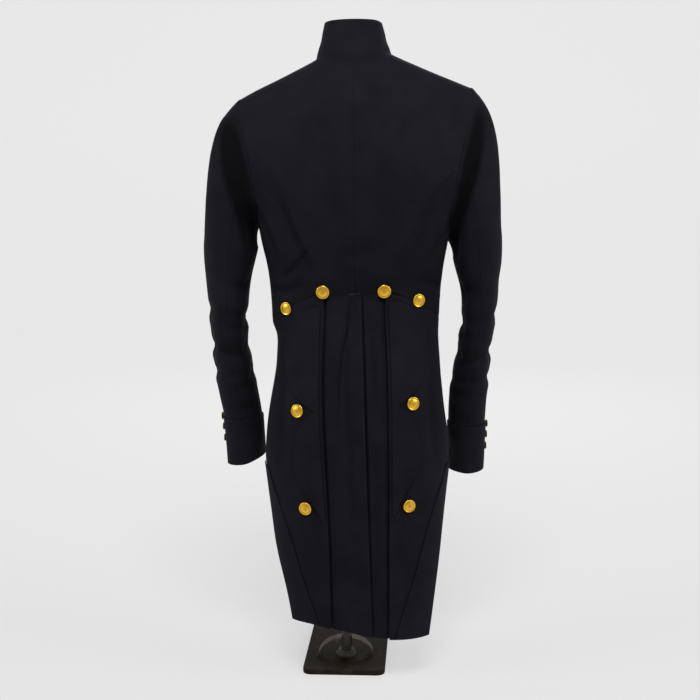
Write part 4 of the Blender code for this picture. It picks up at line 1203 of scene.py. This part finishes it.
buttons = []
for node in sorted(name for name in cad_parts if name.startswith("button_")):
    middle, facing, span = face_of(node)
    field = field_at(node)
    out = field.outward(middle[None])[0]
    if facing @ out < 0:
        facing = -facing
    if field is body:
        middle = middle + out * sum(fold_depth(body, middle[None], *row) for row in ALL_BODY_FOLDS)[0]
    mesh = pattern.data.copy()
    piece = bpy.data.objects.new(node.replace("button", "gilt_button"), mesh)
    bpy.context.scene.collection.objects.link(piece)
    points = points_of(piece)
    radius = np.linalg.norm(points[:, :2], axis=1)
    layer = mesh.attributes.new("reach", "FLOAT", "POINT")
    layer.data.foreach_set("value", (radius / (BUTTON_SPAN / 2)).astype(np.float32))
    scale = span / BUTTON_SPAN
    tilt = Vector(facing).to_track_quat("Z", "Y").to_matrix()
    base = middle - facing * BUTTON_SEAT
    set_points(piece, (points * (scale, scale, 1.0)) @ np.array(tilt).T + base)
    mesh.materials.append(gilt_finish)
    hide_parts(node)
    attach(piece, "root")
    buttons.append(piece)
bpy.data.objects.remove(pattern)
print(len(buttons), "buttons")

# %% [markdown]
# ## The dress form
#
# The form is a hard shell under a close black jersey cover. Only its neck shows inside the collar,
# and its lower end below the fronts. Jersey is knitted, so its pattern is columns of small loops.

# %% Dress form
# columns of loops round the form, and rows of them up it, as waves' rates
LOOPS_ROUND = 900.0
LOOPS_UP = 5200.0
FORM_LEVEL = 2


def jersey(name):
    """Black jersey, with dust on it."""
    material, shader, place = new_finish(name, Specular_IOR_Level=0.25, Sheen_Weight=0.05)
    rows_up = (place.part("Z") * LOOPS_UP).wave()
    loops = (place.turn() * LOOPS_ROUND).wave() * (0.7 + 0.3 * rows_up)
    dust = place.noise(30.0, 4.0)
    dusty = dust.clamped(0.35, 0.75).blend((0.016, 0.016, 0.018), (0.034, 0.033, 0.036))
    feed(shader, "Base Color", dusty)
    feed(shader, "Roughness", 0.78 + dust * 0.15)
    relief(shader, loops * 0.5 + dust, 0.0002, 0.6)
    return material


form = copy_node("form_torso", "form_cover")
smooth_panel(form, FORM_LEVEL)
form.data.materials.append(jersey("form_jersey"))
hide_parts("form_torso")
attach(form, "root")
print("form", len(form.data.polygons), "faces")

# %% [markdown]
# ## The post, its braces and the foot plate
#
# The post is a dull steel bar that has gone brown with handling. The plate is iron under a dark
# brown lacquer, worn through to a warmer brown in patches and speckled with dust. The model's
# own solids already have the right shapes, so they only get their finishes. Each is three noises:
# broad grime, fine speckle and long scratches, and the bare metal shows where the first two meet.

# %% Steel and iron
def worn_metal(name, dark, pale, bare, metallic, rough):
    """Grimy metal of two shades that is worn to a third."""
    material, shader, place = new_finish(name, Specular_IOR_Level=0.10)
    grime = place.noise(45.0, 5.0, 0.65)
    fine = place.noise(700.0, 3.0)
    scratch = place.stretched(30.0, 1.0, 6.0).noise(60.0, 2.0)
    wear = (grime * 0.7 + fine * 0.3).clamped(0.54, 0.72)
    shade = (grime * 0.6 + scratch * 0.4).clamped(0.35, 0.70).blend(dark, pale)
    feed(shader, "Base Color", wear.over(shade, bare))
    feed(shader, "Metallic", metallic + wear * (0.5 - metallic))
    feed(shader, "Roughness", rough + grime * 0.25 - wear * 0.10)
    relief(shader, grime * 0.6 + fine * 0.4, 0.0004, 0.5)
    return material


steel_shades = ((0.048, 0.043, 0.035), (0.095, 0.085, 0.069), (0.20, 0.17, 0.125))
iron_shades = ((0.0065, 0.0040, 0.0028), (0.019, 0.0130, 0.0092), (0.040, 0.026, 0.017))
steel = worn_metal("dark_steel", *steel_shades, metallic=0.45, rough=0.50)
iron = worn_metal("lacquered_iron", *iron_shades, metallic=0.0, rough=0.66)
for node in ("stand_post", "stand_flange", "brace_left", "brace_right", "stand_base"):
    finish = iron if node == "stand_base" else steel
    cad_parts[node].data.materials.clear()
    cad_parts[node].data.materials.append(finish)
    print(node, "in", finish.name)

# %% [markdown]
# ## The cut of the cloth
#
# Each panel was cut flat from the bolt before it was sewn. The back, sides, fronts and collar are
# drawn round the form. The rest hangs from the piece or pieces that it is sewn to.

# %% Hung pieces
# the pieces that each hung one is sewn to
HUNG_FROM = {
    "skirt": ("back", "side"),
    "flap": ("skirt",),
    "turnback": ("skirt",),
    "sleeve_upper": ("back", "front"),
    "sleeve_under": ("sleeve_upper", "side"),
    "cuff": ("sleeve_upper", "sleeve_under"),
}


for node, piece in panels.items():
    kind, _, side = node.rpartition("_") if node != "collar" else (node, "", "")
    held = "hung" if kind in HUNG_FROM else "stretched"

# %% [markdown]
# ## The floor
#
# A pale floor runs back and curves up into the wall, so that there is no line behind the coat.

# %% Floor
FLOOR_SIZE = (14.0, 7.0, 1.0)
CURVE_STEPS = 8
CURVE_STEP = 0.25
WALL_HEIGHT = 4.0

bpy.ops.object.select_all(action="DESELECT")
bpy.ops.mesh.primitive_plane_add(size=1, location=(0, 0, 0))
floor = bpy.context.object
floor.name = "floor"
set_points(floor, points_of(floor) * FLOOR_SIZE)
bpy.ops.object.mode_set(mode="EDIT")
shape = bmesh.from_edit_mesh(floor.data)
for item in (*shape.verts, *shape.edges, *shape.faces):
    item.select_set(False)
for edge in shape.edges:
    edge.select_set(all(vert.co.y > 0.0 for vert in edge.verts))
bmesh.update_edit_mesh(floor.data)
for lift in range(CURVE_STEPS):
    turn = math.radians(90 * (lift + 0.5) / CURVE_STEPS)
    step = (0.0, CURVE_STEP * math.cos(turn), CURVE_STEP * math.sin(turn))
    bpy.ops.mesh.extrude_region_move(TRANSFORM_OT_translate={"value": step})
bpy.ops.mesh.extrude_region_move(TRANSFORM_OT_translate={"value": (0.0, 0.0, WALL_HEIGHT)})
bpy.ops.object.mode_set(mode="OBJECT")
bpy.ops.object.shade_smooth()
print("floor", len(floor.data.polygons), "faces")

# %% [markdown]
# The photograph's ground is a little paler higher up, where it is further off. The paper glows a
# little by itself, more at the back, so it is that even pale grey whatever the lamps do to it.

# %% Paper
NEAR_GLOW = (0.47, 0.47, 0.47)
FAR_GLOW = (0.655, 0.655, 0.655)
GLOW_SPAN = (-1.5, 3.6)

paper, shader, place = new_finish(
    "paper", Base_Color=(0.22, 0.22, 0.22, 1), Roughness=0.9, Specular_IOR_Level=0.0
)
shader.inputs["Emission Strength"].default_value = 1.0
feed(shader, "Emission Color", place.part("Y").clamped(*GLOW_SPAN).blend(NEAR_GLOW, FAR_GLOW))
floor.data.materials.append(paper)
floor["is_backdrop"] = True
print("paper glows from", NEAR_GLOW[0], "to", FAR_GLOW[0])

# %% [markdown]
# ## Finish
#
# The growth of the dressed coat's box over the model's is printed; cloth may stand a little proud.
# The dressed coat has to stay within the model's box, apart from what cloth may stand proud.

# %% Sizes
new_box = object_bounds()
spans = [[high - low for low, high in zip(*box)] for box in (cad_box, new_box)]
print("growth in mm", [round((dressed - model) * 1000, 1) for model, dressed in zip(*spans)])
